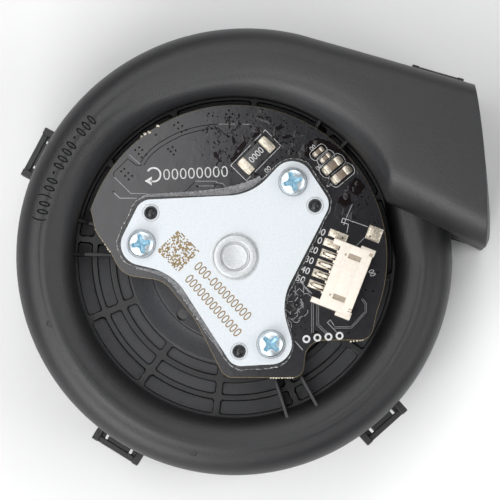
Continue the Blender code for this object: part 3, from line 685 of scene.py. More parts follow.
nr, na = 150, 1320
radii = [12.4 + (29.8 - 12.4) * i / nr for i in range(nr + 1)]
verts, faces, index = [], [], []
for r in radii:
    for j in range(na):
        deg = 360.0 * j / na
        x, y = pol(r, deg)
        verts.append((x, y, bowl_z(r, deg)))
for i in range(nr):
    for j in range(na):
        k = (j + 1) % na
        faces.append((i * na + j, (i + 1) * na + j, (i + 1) * na + k, i * na + k))
        r, deg = (radii[i] + radii[i + 1]) / 2, 360.0 * (j + 0.5) / na
        # index 2 (bowl_slope) paints light onto the dome and centre disc
        index.append(1 if r > 19.4 and pad_depth(r, deg) > 0.93 else (2 if r < 19.2 else 0))
bowl = piece("bowl_floor", verts, faces, ["bowl", "pad", "slope"], ["upper_housing"], angle=60,
             index=index, recalc=False)
from_bm("bowl_underside", turned_bm([(29.6, 16.9), (19.0, 16.9), (15.6, 20.0), (14.4, 20.7), (12.4, 20.7),
                                     (12.4, 20.4), (14.0, 20.4), (15.4, 19.0), (17.2, 17.0), (18.6, 16.2),
                                     (29.6, 16.2)], 120),
        "charcoal", ["upper_housing"])

bm = bmesh.new()
for deg in SCREW_DEG:
    cx, cy = pol(SCREW_R, deg)
    turned_bm([(1.15, 25.4), (2.7, 25.4), (2.8, 25.3), (2.95, 17.4), (1.15, 17.4)], 40, cx, cy, True, bm)
for deg in POST_DEG:
    cx, cy = pol(POST_R, deg)
    turned_bm([(0, 27.92), (0.35, 27.88), (0.7, 27.72), (0.98, 27.4), (1.1, 27.0), (1.12, 24.0), (1.9, 22.9),
               (1.95, 17.2), (0, 17.2)], 36, cx, cy, False, bm)
from_bm("bosses_and_posts", bm, "bowl", ["upper_housing"])

bm = bmesh.new()


def rib_bm(deg, pts, half, bm):
    out, along = pol(1, deg), pol(1, deg + 90)
    a = [bm.verts.new((out[0] * r + along[0] * half, out[1] * r + along[1] * half, z)) for r, z in pts]
    b = [bm.verts.new((out[0] * r - along[0] * half, out[1] * r - along[1] * half, z)) for r, z in pts]
    n = len(pts)
    bm.faces.new(a)
    bm.faces.new(b[::-1])
    for i in range(n):
        j = (i + 1) % n
        bm.faces.new((a[j], a[i], b[i], b[j]))


for deg, r1, top in ((166.8, 31.4, 27.0), (179.0, 31.4, 27.4), (288.0, 32.6, 25.6), (298.8, 32.4, 25.0),
                     (46.0, 30.6, 23.2), (58.0, 30.6, 23.2)):
    rib_bm(deg, [(18.6, 17.3), (r1 - 1.2, 17.3), (r1 - 0.2, top - 3.0), (r1, top), (r1 - 0.8, top - 0.1),
                 (27.4, 23.25), (18.6, 22.9)], 0.32, bm)
from_bm("gusset_ribs", bm, "bowl", ["upper_housing"], bevel=0.12, angle=50)


# ---------------------------------------------------------------------- clips
def clip_frame(deg=None):
    if deg is not None:
        return pol(ring_r(deg), deg), deg
    along = pol(1, OUT_N_DEG - 90)
    return (OUT_N[0] * OUT_D + along[0] * 26.35, OUT_N[1] * OUT_D + along[1] * 26.35), OUT_N_DEG


def out_box(place, deg, r0, r1, side, width, z0, z1, bm):
    out, along = pol(1, deg), pol(1, deg + 90)
    return box_bm(place[0] + out[0] * (r0 + r1) / 2 + along[0] * side,
                  place[1] + out[1] * (r0 + r1) / 2 + along[1] * side, z0, z1, r1 - r0, width, deg, bm)


bm = bmesh.new()
hooks = bmesh.new()
for deg in (152.1, 238.1, 311.9, None):
    place, face = clip_frame(deg)
    if deg is None:
        n = pol(1, face)
        place = (place[0] - n[0] * 0.85, place[1] - n[1] * 0.85)
    for side in (-4.25, 4.25):
        out_box(place, face, -0.9, 2.1, side, 1.3, 10.0, 17.4, bm)
    out_box(place, face, 0.95, 2.05, 0, 9.4, 9.9, 12.0, bm)
    out_box(place, face, 0.90, 2.0, 0, 9.2, 13.9, 16.9, bm)
    out_box(place, face, -0.9, 1.6, 0, 4.6, 15.0, 16.6, bm)
    for side in (-3.55, 3.55):
        out_box(place, face, -0.9, 1.4, side, 1.5, 14.6, 16.4, bm)
    out_box(place, face, -0.8, 1.9, 0, 3.0, 12.3, 13.4, hooks)
from_bm("snap_clips", bm, "charcoal", ["upper_housing"], bevel=0.18, segments=3)
from_bm("snap_hooks", hooks, "charcoal", ["lower_housing"], bevel=0.12)

# moulding marks and generic moulded lettering on the duct; the lettering's material paints its shade
for k, ch in enumerate("000-0000-00(00)"):
    deg = 136.5 + k * 2.35
    x, y = pol(35.9, deg)
    text_obj(f"moulded_digit_{k}", ch, (x, y), deg + 90, 3.0, 0.0, "engraved", width=0.66,
             thick=0.24, bold=0.004, lift=duct_z)
bm = bmesh.new()
for deg, r in ((200.0, 35.6), (258.0, 36.4)):
    x, y = pol(r, deg)
    z = duct_z(x, y)
    turned_bm([(0, z + 0.05), (0.55, z + 0.04), (0.7, z - 0.1), (0, z - 0.1)], 28, x, y, False, bm)
from_bm("ejector_marks", bm, "charcoal", ["upper_housing"])


# ---------------------------------------------------------------- lower shell
def plan(inset, step=2.0):
    pts = []
    deg = tongue_deg(RING_R, 0.0)
    while deg > END_DEG:
        pts.append(pol(ring_r(deg) - inset, deg))
        deg -= step
    pts.append(pol(OUT_D - inset, END_DEG))
    pts += [mouth(t / 12, inset) for t in range(12, -1, -1)]
    return pts


shell_levels = [(2.2, 0.0), (1.2, 0.12), (0.5, 0.5), (0.12, 1.2), (0.0, 2.2), (0.0, SEAM - 0.55),
                (0.35, SEAM - 0.5), (0.35, SEAM - 0.15)]
rings = [[(x, y, z) for x, y in plan(i)] for i, z in shell_levels]
n = len(rings[0])
verts = [p for ring in rings for p in ring]
faces = []
for a in range(len(rings) - 1):
    for i in range(n):
        j = (i + 1) % n
        if n - 13 <= i < n - 1:
            continue                        # the mouth stays open
        faces.append((a * n + i, a * n + j, (a + 1) * n + j, (a + 1) * n + i))
outer_shell = piece("lower_shell_wall", verts, faces, "charcoal", ["lower_housing"], angle=45)


def void_plan():
    pts = [pol(BOWL_R + WALL, tongue_deg(BOWL_R + WALL) - 0.3)]
    deg = tongue_deg(RING_R - WALL) - 0.3
    while deg > END_DEG:
        pts.append(pol(ring_r(deg) - WALL, deg))
        deg -= 2.0
    pts.append(pol(OUT_D - WALL, END_DEG))
    pts += [mouth(1.0, WALL), mouth(0.0, WALL), pol(BOWL_R + WALL, tongue_deg(BOWL_R + WALL, WALL))]
    return pts


vp = void_plan()
n2 = len(vp)
verts = [(x, y, WALL) for x, y in vp] + [(x, y, SEAM - 0.15) for x, y in vp]
faces = []
for i in range(n2):
    j = (i + 1) % n2
    if i == n2 - 3:
        continue
    faces.append((j, i, n2 + i, n2 + j))
piece("lower_shell_inside", verts, faces, "charcoal", ["lower_housing"], angle=45, recalc=False)
# seam rim, mouth rim and floor with the intake
rim = plan(0.35)
plate_obj("lower_shell_rim", [rim, vp], SEAM - 0.25, SEAM - 0.15, "charcoal", ["lower_housing"])
plate_obj("lower_shell_floor", [plan(2.2), circle(19.0, 120)], 0.0, WALL, "charcoal",
          ["lower_housing"])
plate_obj("lower_shell_floor_inner", [offset(plan(0.0), 0.3), circle(19.0, 120)], 1.1, WALL, "charcoal",
          ["lower_housing"])
from_bm("intake_bellmouth", turned_bm([(19.05, 0.0), (18.6, 0.06), (17.6, 0.3), (16.7, 0.75), (16.0, 1.3),
                                       (15.6, 1.9), (15.5, 2.5), (15.5, 3.5), (15.6, 3.6), (16.6, 3.6),
                                       (16.7, 3.5), (16.7, 1.9), (16.9, 1.6), (19.05, 1.6)], 160),
        "charcoal", ["lower_housing"])
bm = bmesh.new()
for t in (0.0, 1.0):
    a, b = mouth(t, 0.0), mouth(t, WALL)
    if t == 1.0:
        a, b = b, a
    q = [(*a, 0.9), (*b, 0.9), (*b, SEAM - 0.15), (*a, SEAM - 0.15)]
    bm.faces.new([bm.verts.new(p) for p in q])
low = [mouth(t / 12, 0.0) for t in range(13)]
top = [(*p, WALL) for p in low]
bot = [(*p, 0.0) for p in low]
tv, bv = [bm.verts.new(p) for p in top], [bm.verts.new(p) for p in bot]
for i in range(12):
    bm.faces.new((tv[i], bv[i], bv[i + 1], tv[i + 1]))
from_bm("lower_shell_mouth_rim", bm, "charcoal", ["lower_housing"])


# -------------------------------------------------------- plate, film, board
def trefoil(grow, valley=11.7, vr=10.0):
    c = []
    for k in range(3):
        c += [(*pol(20.0 + grow * 1.45, 29 + 120 * k), 2.9 + grow),
              (*pol(22.5 + grow * 1.5, 60.9 + 120 * k), 3.8 + grow),
              (*pol(valley + grow, 75 + 120 * k), vr)]
    return filleted(c, 18)


holes = [circle(3.95, 80)] + [circle(1.5, 40, *pol(POST_R, d)) for d in POST_DEG]
plate_obj("plate", [trefoil(0.0)] + holes + [circle(1.5, 40, *pol(SCREW_R, d)) for d in SCREW_DEG],
          PLATE_Z0, PLATE_Z1, "zinc", ["motor_plate"], bevel=0.16, segments=3)

film_corners = []
for k, (lobe, valley) in enumerate(((0.42, 13.1), (0.62, 12.9), (0.48, 12.3))):
    film_corners += [(*pol(20.0 + lobe * 1.45, 29 + 120 * k), 2.9 + lobe),
                     (*pol(22.5 + lobe * 1.5, 60.9 + 120 * k), 3.8 + lobe),
                     (*pol(valley, 75 + 120 * k), 8.0)]
film_out = filleted(film_corners, 18)
dense = []
for i in range(len(film_out)):
    a, b = Vector(film_out[i]), Vector(film_out[(i + 1) % len(film_out)])
    m = max(1, int((b - a).length / 0.18))
    dense += [tuple(a + (b - a) * (k / m)) for k in range(m)]
film_out = []
for i, (x, y) in enumerate(offset(dense, 0.0)):
    r, deg = math.hypot(x, y), math.degrees(math.atan2(y, x))
    wob = 0.22 * noise.noise(Vector((x * 0.5, y * 0.5, 3.1))) + 0.13 * noise.noise(Vector((x * 2.3, y * 2.3, 7.7)))
    film_out.append(pol(r + wob, deg))
# ribbon along the film's edge: its pale specks paint the glinting highlights of the edge
bm = bmesh.new()
ribbon_bm(film_out, 0.15, 25.40, True, bm, 0.06)
from_bm("film_edge", bm, "film_edge", ["insulator_film"])
plate_obj("film", [film_out, circle(6.4, 60)], 24.95, 25.42, "film", ["insulator_film"], bevel=0.12)

bm = bmesh.new()
for deg in POST_DEG:
    cx, cy = pol(POST_R, deg)
    turned_bm([(1.66, PLATE_Z1 + 0.012), (1.47, PLATE_Z1 + 0.05), (1.28, PLATE_Z1 + 0.04),
               (1.18, PLATE_Z1 - 0.04), (1.14, PLATE_Z0), (1.62, PLATE_Z0)], 48, cx, cy, True, bm)
from_bm("post_hole_rims", bm, "zinc", ["motor_plate"])
# thin dark metal rings round the post holes, screw heads and boss paint their shadow outlines
bm = bmesh.new()
for deg in POST_DEG:
    ribbon_bm(circle(1.54, 48, *pol(POST_R, deg)), 0.09, PLATE_Z1 - 0.02, True, bm, 0.075)
for deg in SCREW_DEG:
    ribbon_bm(circle(2.60, 64, *pol(SCREW_R, deg)), 0.12, PLATE_Z1 - 0.02, True, bm, 0.03)
ribbon_bm(circle(4.10, 96), 0.22, PLATE_Z1 - 0.02, True, bm, 0.045)
ribbon_bm(circle(2.66, 80), 0.10, PLATE_Z1 + 0.66, True, bm, 0.06)
from_bm("painted_shade_rings", bm, "lamination")

clear = bmesh.new()


def clear_band(points, widths, seed):
    fine, w = [], []
    for i in range(len(points) - 1):
        a, b = Vector(px(*points[i])), Vector(px(*points[i + 1]))
        m = max(2, int((b - a).length / 0.2))
        for k in range(m):
            f = k / m
            fine.append(a + (b - a) * f)
            w.append(widths[i] + (widths[i + 1] - widths[i]) * f)
    left, right = [], []
    for i, q in enumerate(fine):
        t = (fine[min(i + 1, len(fine) - 1)] - fine[max(i - 1, 0)]).normalized()
        n = Vector((-t.y, t.x))
        wob = 0.16 * noise.noise(Vector((q.x * 2.2, q.y * 2.2, seed)))
        left.append(q + n * (w[i] / 2 + wob))
        right.append(q - n * w[i] / 2)
    a = [clear.verts.new((q.x, q.y, 25.44)) for q in left]
    b = [clear.verts.new((q.x, q.y, 25.50)) for q in right]
    for i in range(len(a) - 1):
        clear.faces.new((a[i], a[i + 1], b[i + 1], b[i]))


clear_band([(137, 200), (146, 195.5), (165, 194.5), (200, 193.0), (222, 191.5), (238, 188.5), (250, 184), (262, 177)],
           [0.2, 0.45, 0.6, 0.9, 1.3, 1.5, 1.4, 0.7], 3.0)
clear_band([(136, 268), (150, 270.5), (162, 274), (172, 279), (181, 290), (192, 306), (203, 322), (213, 338), (222, 354)],
           [0.3, 0.5, 0.8, 1.1, 1.1, 1.0, 0.9, 0.7, 0.4], 8.0)
from_bm("film_clear_bands", clear, "film_clear", ["insulator_film"])

# bearing tube boss in the middle of the plate
from_bm("boss", turned_bm([(4.55, PLATE_Z1 - 0.05), (4.40, PLATE_Z1 + 0.015), (4.05, PLATE_Z1 + 0.03),
                           (3.94, PLATE_Z1 + 0.16), (3.90, PLATE_Z1 + 0.62), (3.80, PLATE_Z1 + 0.78),
                           (3.62, PLATE_Z1 + 0.84), (2.92, PLATE_Z1 + 0.84), (2.74, PLATE_Z1 + 0.78),
                           (2.64, PLATE_Z1 + 0.60), (2.58, PLATE_Z1 - 0.1), (2.55, 24.4), (4.2, 24.4),
                           (4.2, 11.2), (5.1, 11.2), (5.1, 25.0), (4.0, 25.6), (3.9, 26.4)], 128),
        "boss", ["bearing_tube"])
from_bm("boss_cap", turned_bm([(0, PLATE_Z1 + 0.42), (1.9, PLATE_Z1 + 0.43), (2.12, PLATE_Z1 + 0.48),
                               (2.26, PLATE_Z1 + 0.42), (2.42, PLATE_Z1 + 0.32), (2.62, PLATE_Z1 + 0.34),
                               (2.62, 26.6), (0, 26.6)],
                              96, closed=False), "boss", ["tube_end_cap"])

# board
outline = []
d = 162.0
while d > -22:
    outline.append((*pol(BOARD_R, d), 0))
    d -= 1.5
outline += [(*pol(29.0, -31.5), 2.4), (13.0, -15.2, 3.5), (12.4, -22.0, 2.0),
            (-1.9, -22.0, 2.4), (-7.2, -11.5, 12.0), (-13.0, -4.3, 5.0), (-20.6, -3.3, 4.5),
            (-22.6, 0.7, 2.0), (-25.5, 4.9, 1.5), (-26.2, 8.2, 0.6)]
edge = filleted(outline, 12)
board_holes = [circle(5.3, 60)] + [circle(3.1, 40, *pol(SCREW_R, d)) for d in SCREW_DEG] \
    + [circle(1.5, 30, *pol(POST_R, d)) for d in POST_DEG]
board_in = offset(edge, 0.05)
plate_obj("board", [board_in] + board_holes, 23.6, BOARD_Z, "board", ["driver_board"])
bm = bmesh.new()
n = len(edge)
a = [bm.verts.new((*p, 23.6)) for p in edge]
b = [bm.verts.new((*p, BOARD_Z - 0.07)) for p in edge]
c = [bm.verts.new((*p, BOARD_Z + 0.004)) for p in offset(edge, 0.055)]
e2 = [bm.verts.new((*p, BOARD_Z - 0.2)) for p in offset(edge, 0.16)]
f2 = [bm.verts.new((*p, 23.6)) for p in offset(edge, 0.16)]
for lo, hi in ((a, b), (b, c), (c, e2), (e2, f2), (f2, a)):
    for i in range(n):
        j = (i + 1) % n
        bm.faces.new((lo[i], lo[j], hi[j], hi[i]))
from_bm("board_edge", bm, "fr4", ["driver_board"])

# broken-off break tabs on the board's edge
bm = bmesh.new()


def burrs(points, size, seed):
    rng = random.Random(seed)
    for x, y in points:
        m = bmesh.ops.create_icosphere(bm, subdivisions=2, radius=size * rng.uniform(0.7, 1.2))["verts"]
        for v in m:
            v.co *= 1 + 0.35 * noise.noise(v.co * 9 + Vector((x, y, seed)))
            v.co.z *= rng.uniform(0.8, 1.4)
        bmesh.ops.translate(bm, vec=(x + rng.uniform(-.06, .06), y + rng.uniform(-.06, .06), BOARD_Z - 0.30),
                            verts=m)


def along(a, b, count):
    return [(a[0] + (b[0] - a[0]) * i / (count - 1), a[1] + (b[1] - a[1]) * i / (count - 1))
            for i in range(count)]


burrs([px(141.5, 136.2), px(145.3, 133.6), px(149.3, 131.6), px(153.3, 129.2), px(158.0, 126.0)], 0.33, 1)
burrs(along(px(95.4, 229.2), px(109.8, 250.6), 11), 0.21, 2)
burrs(along(px(271, 377.6), px(293, 377.2), 9), 0.24, 3)
burrs(along(px(351, 341.2), px(363, 339.6), 5) + along(px(366, 335), px(374, 321), 6), 0.19, 4)
from_bm("board_break_tabs", bm, "fr4_burr", ["driver_board"])

# copper relief under the solder mask, with painted shade lines and painted highlight lines along the tracks
traces = bmesh.new()
shade_lines = bmesh.new()
Z = BOARD_Z + 0.002


def tr(points, w=0.16, bmx=None, thick=0.022):
    ribbon_bm(points, w, Z, bm=bmx if bmx is not None else traces, thick=thick)


def arc(r, a0, a1, k=30):
    return [pol(r, a0 + (a1 - a0) * i / k) for i in range(k + 1)]


highlight_bm = bmesh.new()


def shifted(points, d):
    out = []
    for i, q in enumerate(points):
        a = Vector(points[max(i - 1, 0)])
        b = Vector(points[min(i + 1, len(points) - 1)])
        t1 = (Vector(q) - a).normalized() if i else (b - Vector(q)).normalized()
        t2 = (b - Vector(q)).normalized() if i < len(points) - 1 else t1
        t = (t1 + t2).normalized()
        n = Vector((-t.y, t.x))
        k = d / max(0.5, n.dot(Vector((-t1.y, t1.x))))
        out.append((q[0] + n.x * k, q[1] + n.y * k))
    return out


def band(points, w=0.5, gap=0.09):
    """A raised track with a painted shade line and a painted highlight along each side."""
    ribbon_bm(points, w + 2 * gap, Z - 0.012, bm=shade_lines, thick=0.016)
    ribbon_bm(points, w, Z, bm=traces, thick=0.03)
    for side in (-1, 1):
        ribbon_bm(shifted(points, side * (w / 2 - 0.03)), 0.055, Z, bm=highlight_bm, thick=0.034)


# a thin pale line: a painted highlight on the lit edge of a raised track
def pale(points, w=0.09):
    ribbon_bm(points, w, Z, bm=highlight_bm, thick=0.02)


upper = [px(142, 163.5), px(146, 157), px(152, 150.5), px(160, 144.2), px(170, 138.4), px(180, 133.4),
         px(190, 130.2), px(200, 127.8), px(210, 126.2), px(218, 125.6)]
fine = []
for i in range(len(upper) - 1):
    a, b = Vector(upper[i]), Vector(upper[i + 1])
    fine += [tuple(a + (b - a) * (k / 4)) for k in range(4)]
fine.append(upper[-1])
off_out = [(x * 1.016, y * 1.016) for x, y in fine]
off_in = [(x * 0.984, y * 0.984) for x, y in fine]
# dark lines beside the tracks are painted shade, pale lines are painted highlights
tr(off_out, 0.13, shade_lines)
tr(off_in + [px(229, 137.5)], 0.13, shade_lines)
pale([px(218, 123.6), px(234, 123.6), px(250, 123.8)], 0.07)
tr([px(142, 164.8), px(136, 164.8), px(127.5, 158.3), px(113.2, 172.5), px(113.8, 176.5)], 0.11, shade_lines)
pale([px(129, 154.2), px(139.4, 163.4)], 0.10)
pale([px(114.3, 177), px(130.5, 193.0), px(147, 193.2)], 0.10)
pale([px(113.5, 192), px(119.5, 197.8), px(137, 197.8)], 0.13)
tr([px(183, 193), px(195, 181.2)], 0.12, shade_lines)
pale([px(195, 180.8), px(217, 180.8)], 0.09)
pale([px(199, 185.6), px(214, 185.6)], 0.09)
tr([px(213, 183.6), px(220.5, 184.8), px(231, 195.5)], 0.10, shade_lines)
pale([px(216, 182.0), px(222.5, 183.0), px(234.5, 194.6)], 0.09)
pale([px(147, 193.4), px(183, 193.0)], 0.07)
band([px(312.5, 302), px(312.5, 333)], 0.42)
band([px(317.8, 304), px(317.8, 324.5), px(327.5, 334.0)], 0.42)
band([px(362.0, 298.5), px(366.0, 303.5), px(366.0, 311.5), px(351.5, 327.2), px(334.5, 327.4)], 0.36)
pale([px(334.2, 325.4), px(330.5, 319.8), px(327.4, 322.4), px(336.8, 332.0)], 0.12)
pale([px(301, 282), px(312, 293.5)], 0.14)
pale([px(302.5, 285), px(309.5, 292.5)], 0.10)
pale([px(295, 290), px(298, 297), px(295, 301)], 0.14)
pale([px(295, 341), px(303, 350)], 0.14)
pale([px(345.6, 219.5), px(352.5, 204.0)], 0.12)
pale([px(356.5, 245.5), px(364.6, 237.5)], 0.11)
tr([px(337, 203), px(334.5, 214), px(339.5, 219.5)], 0.1)
rng = random.Random(5)
for k in range(26):
    x, y = px(rng.uniform(285, 305), rng.uniform(282, 320))
    if math.hypot(x, y) > 27 or x > 13.4:
        continue
    pts = [(x, y)]
    ang = rng.choice((0, 45, 90, 135, -45, -90))
    for s in range(rng.randint(2, 4)):
        ang += rng.choice((-45, 45, 0))
        L = rng.uniform(0.35, 1.0)
        pts.append((pts[-1][0] + L * math.cos(math.radians(ang)), pts[-1][1] + L * math.sin(math.radians(ang))))
    if all(math.hypot(p[0], p[1]) > 12 for p in pts):
        pale(pts, 0.10)
from_bm("traces", traces, "trace")
from_bm("trace_edge_highlights", highlight_bm, "edge_line")
from_bm("trace_shade_lines", shade_lines, "groove")

# via dots: dark discs and rings paint the shade in the via holes
bm = bmesh.new()


def dot(x, y, r=0.15, z=BOARD_Z, b=None):
    turned_bm([(0, z + 0.012), (r * .8, z + 0.012), (r, z - 0.02), (0, z - 0.02)], 14, x, y, False,
              b if b is not None else bm)


for u, v in ((174, 124.5), (178, 122), (182, 125.5), (178, 128), (186, 129.5), (181.5, 131.5),
             (135, 149.5), (139, 147), (142, 149.5), (138.5, 153.5), (146, 154), (141.5, 157),
             (168, 148.5), (172.5, 146.5), (175.5, 150), (170.5, 151), (173.5, 154),
             (121, 171), (124, 168.5), (128, 172.5), (125, 175.5), (132, 175.5), (128.5, 179),
             (229, 110), (226, 113.5), (232.5, 113.5), (229.5, 117), (237, 117.5), (233, 121),
             (208.5, 113), (155.5, 134.2), (241, 123.5), (113.5, 191.8), (197, 186), (214.5, 185.6),
             (349.5, 332.5), (373, 291), (366, 289.5), (378, 272), (330.5, 318.5), (356, 291)):
    dot(*px(u, v), 0.15)
    ribbon_bm(circle(0.17, 12, *px(u, v)), 0.05, BOARD_Z, True, bm, 0.02)
from_bm("vias", bm, "groove")

# silkscreen: outlines, generic digits and a rotation arrow
silk = bmesh.new()
ZS = BOARD_Z + 0.012


def sk(points, w=0.10, closed=False):
    ribbon_bm(points, w, ZS, closed, silk, 0.016)


sk([px(265.3, 129.3), px(281.0, 145.3), px(246.3, 180.3), px(230.7, 164.9)], 0.09, True)
sk([px(344.0, 224.5), px(346.2, 218.8), px(368.0, 226.5)], 0.10)
sk([px(346.5, 219.0), px(343.0, 218.0), px(341.5, 221.8), px(348.6, 224.0), px(347.0, 232.5)], 0.10)


def stadium(cx, cy, deg, length, width, w=0.09):
    pts = []
    for sgn in (1, -1):
        for k in range(9):
            a = math.radians(-90 + 180 * k / 8) if sgn > 0 else math.radians(90 + 180 * k / 8)
            lx = sgn * (length / 2 - width * 0.32) + width * 0.32 * math.cos(a)
            ly = width / 2 * math.sin(a)
            ca, sa = math.cos(math.radians(deg)), math.sin(math.radians(deg))
            pts.append((cx + lx * ca - ly * sa, cy + lx * sa + ly * ca))
    sk(pts, w, True)


for (x, y), L, W in ((px(332.4, 165.2), 5.2, 2.45), (px(341.8, 174.6), 5.2, 2.45),
                     (px(318.6, 151.8), 3.4, 1.9), (px(325.9, 157.6), 3.4, 1.9)):
    stadium(x, y, 40.0, L, W)
for (u, v) in ((306.5, 339), (317.5, 337.6), (328.6, 336.7), (339.7, 335.7)):
    x, y = px(u, v)
    ribbon_bm(circle(0.55, 48, x, y), 0.34, ZS, True, silk, 0.07)
arrow = [pol(1.25, a) for a in range(150, -121, -15)]
cxa, cya = px(153.5, 174.3)
ribbon_bm([(cxa + x, cya + y) for x, y in arrow], 0.30, ZS, False, silk, 0.016)
hx, hy = cxa + arrow[-1][0], cya + arrow[-1][1]
prism_bm([(hx - 1.0, hy - 0.05), (hx + 0.25, hy - 0.85), (hx + 0.3, hy + 0.75)], ZS, ZS + 0.016, silk)
from_bm("silkscreen", silk, "silk")
text_obj("board_digits", "00000000", px(195.5, 173.2), 3.0, 2.9, ZS, "logo_silk", width=1.0, bold=-0.03,
         spacing=1.04)
for k, (u, v) in enumerate(((322.5, 231.5), (319.2, 239.8), (315.0, 249.6), (310.8, 260.0), (307.0, 270.2),
                            (302.0, 279.0))):
    text_obj(f"pad_number_{k}", str(k) + "0", px(u - 1.5, v), -21.2, 1.75, ZS, "silk", width=0.95,
             bold=0.015)
text_obj("ref_a", "00", px(372.0, 272.8), -68, 1.5, ZS, "silk", width=0.85)
text_obj("ref_b", "00", px(267.5, 168.8), 226, 1.25, ZS, "silk", width=1.0)
text_obj("ref_c", "00", px(313.0, 147.5), 40, 1.25, ZS, "silk", width=0.9)
text_obj("ref_d", "00", px(319.0, 167.0), 40, 1.2, ZS, "silk", width=0.9)
text_obj("ref_e", "0", px(329.0, 184.5), 130, 1.2, ZS, "silk", width=0.9)


# pooled conformal coat
def coat_height(x, y):
    r = math.hypot(x, y)
    deg = math.degrees(math.atan2(y, x))
    if r > BOARD_R - 0.35:
        return -0.08
    w = 0.0
    for (u, v), rad in (((228, 140), 7.5), ((262, 128), 6.0), ((300, 140), 6.5), ((345, 178), 6.5),
                        ((252, 184), 4.5), ((350, 205), 5.0), ((300, 158), 4.0), ((297, 300), 3.2)):
        c = px(u, v)
        w = max(w, smooth(1.25 - math.hypot(x - c[0], y - c[1]) / rad))
    if w <= 0:
        return -0.08
    n = noise.noise(Vector((x * 0.75, y * 0.75, 1.7))) + 0.55 * noise.noise(Vector((x * 2.1, y * 2.1, 4.2)))
    return -0.08 + 0.33 * max(0.0, (n - 0.18 + 0.35 * (w - 0.75))) ** 0.7 * w if n > 0.18 - 0.35 * (w - 0.75) else -0.08


x0, x1, y0, y1, st = -16.0, 27.6, -16.0, 27.6, 0.14
nx, ny = int((x1 - x0) / st), int((y1 - y0) / st)
H = [[coat_height(x0 + i * st, y0 + j * st) for j in range(ny)] for i in range(nx)]
ids, verts, faces = {}, [], []


def vid(i, j):
    if (i, j) not in ids:
        ids[(i, j)] = len(verts)
        verts.append((x0 + i * st, y0 + j * st, BOARD_Z + min(0.09, H[i][j] * 0.7)))
    return ids[(i, j)]


for i in range(nx - 1):
    for j in range(ny - 1):
        if max(H[i][j], H[i + 1][j], H[i][j + 1], H[i + 1][j + 1]) > -0.07:
            faces.append((vid(i, j), vid(i + 1, j), vid(i + 1, j + 1), vid(i, j + 1)))
piece("conformal_coat", verts, faces, "coatlump", angle=80, recalc=False)

pool = bmesh.new()


def island(points, seed):
    """A flat dark pool with a wandering edge."""
    n = len(points)
    out = []
    for i in range(n):
        a, b = Vector(px(*points[i])), Vector(px(*points[(i + 1) % n]))
        m = max(2, int((b - a).length / 0.25))
        for k in range(m):
            q = a + (b - a) * (k / m)
            w = 0.22 * noise.noise(Vector((q.x * 1.6, q.y * 1.6, seed))) + \
                0.12 * noise.noise(Vector((q.x * 4.0, q.y * 4.0, seed + 5)))
            out.append(q + Vector((w, w * 0.7)))
    top = [pool.verts.new((q.x, q.y, BOARD_Z + 0.016)) for q in out]
    centre = sum(out, Vector((0, 0))) / len(out)
    c = pool.verts.new((centre.x, centre.y, BOARD_Z + 0.02))
    for i in range(len(top)):
        pool.faces.new((top[i], top[(i + 1) % len(top)], c))


island([(232, 160), (236, 149), (245, 139), (248, 142), (240, 154), (234, 163)], 1.0)
island([(251, 137), (256, 131), (262, 131), (258, 135), (252, 139)], 2.0)
island([(303, 152), (309, 141), (318, 137), (330, 141), (338, 150), (331, 150), (322, 145), (312, 152), (308, 158)], 3.0)
island([(330, 141), (345, 152), (352, 163), (349, 168), (340, 154), (332, 149)], 4.0)
island([(356, 176), (366, 186), (358, 196), (349, 190), (352, 182)], 5.0)
island([(274, 128), (282, 123), (284, 127), (277, 131)], 6.0)
island([(281, 137), (288, 133), (292, 136), (285, 139)], 7.0)
island([(243, 187), (250, 184), (262, 179), (260, 183), (250, 188)], 8.0)
island([(213, 152), (218, 151), (219, 157), (215, 158)], 9.0)
island([(340, 196), (350, 193), (352, 203), (346, 207), (338, 203)], 10.0)
island([(311, 330), (318, 331), (320, 334), (312, 334)], 11.0)
from_bm("dark_pools", pool, "coat_pool")
specks = bmesh.new()
rng = random.Random(23)
for (u0, v0, u1, v1), count in (((205, 112, 300, 152), 120), ((214, 132, 236, 176), 60),
                                ((268, 120, 302, 160), 60), ((338, 176, 384, 224), 110),
                                ((286, 280, 306, 335), 90), ((262, 160, 300, 182), 40)):
    for k in range(count):
        u, v = rng.uniform(u0, u1), rng.uniform(v0, v1)
        x, y = px(u, v)
        if math.hypot(x, y) > 27.0 or math.hypot(x, y) < 12.5:
            continue
        r = rng.uniform(0.05, 0.17)
        m = bmesh.ops.create_icosphere(specks, subdivisions=1, radius=r)["verts"]
        sx, sy, ang = rng.uniform(0.7, 2.0), rng.uniform(0.6, 1.1), rng.uniform(0, 3.14)
        for w in m:
            w.co = Vector((w.co.x * sx, w.co.y * sy, max(0, w.co.z) * 0.35))
        bmesh.ops.rotate(specks, matrix=Matrix.Rotation(ang, 3, 'Z'), verts=m)
        bmesh.ops.translate(specks, vec=(x, y, BOARD_Z + 0.004), verts=m)
from_bm("coat_specks", specks, "groove")

# ----------------------------------------------------------------- components
TOP = 25.1


def local(c, deg, u, v):
    a, b = pol(1, deg), pol(1, deg + 90)
    return (c[0] + a[0] * u + b[0] * v, c[1] + a[1] * u + b[1] * v)


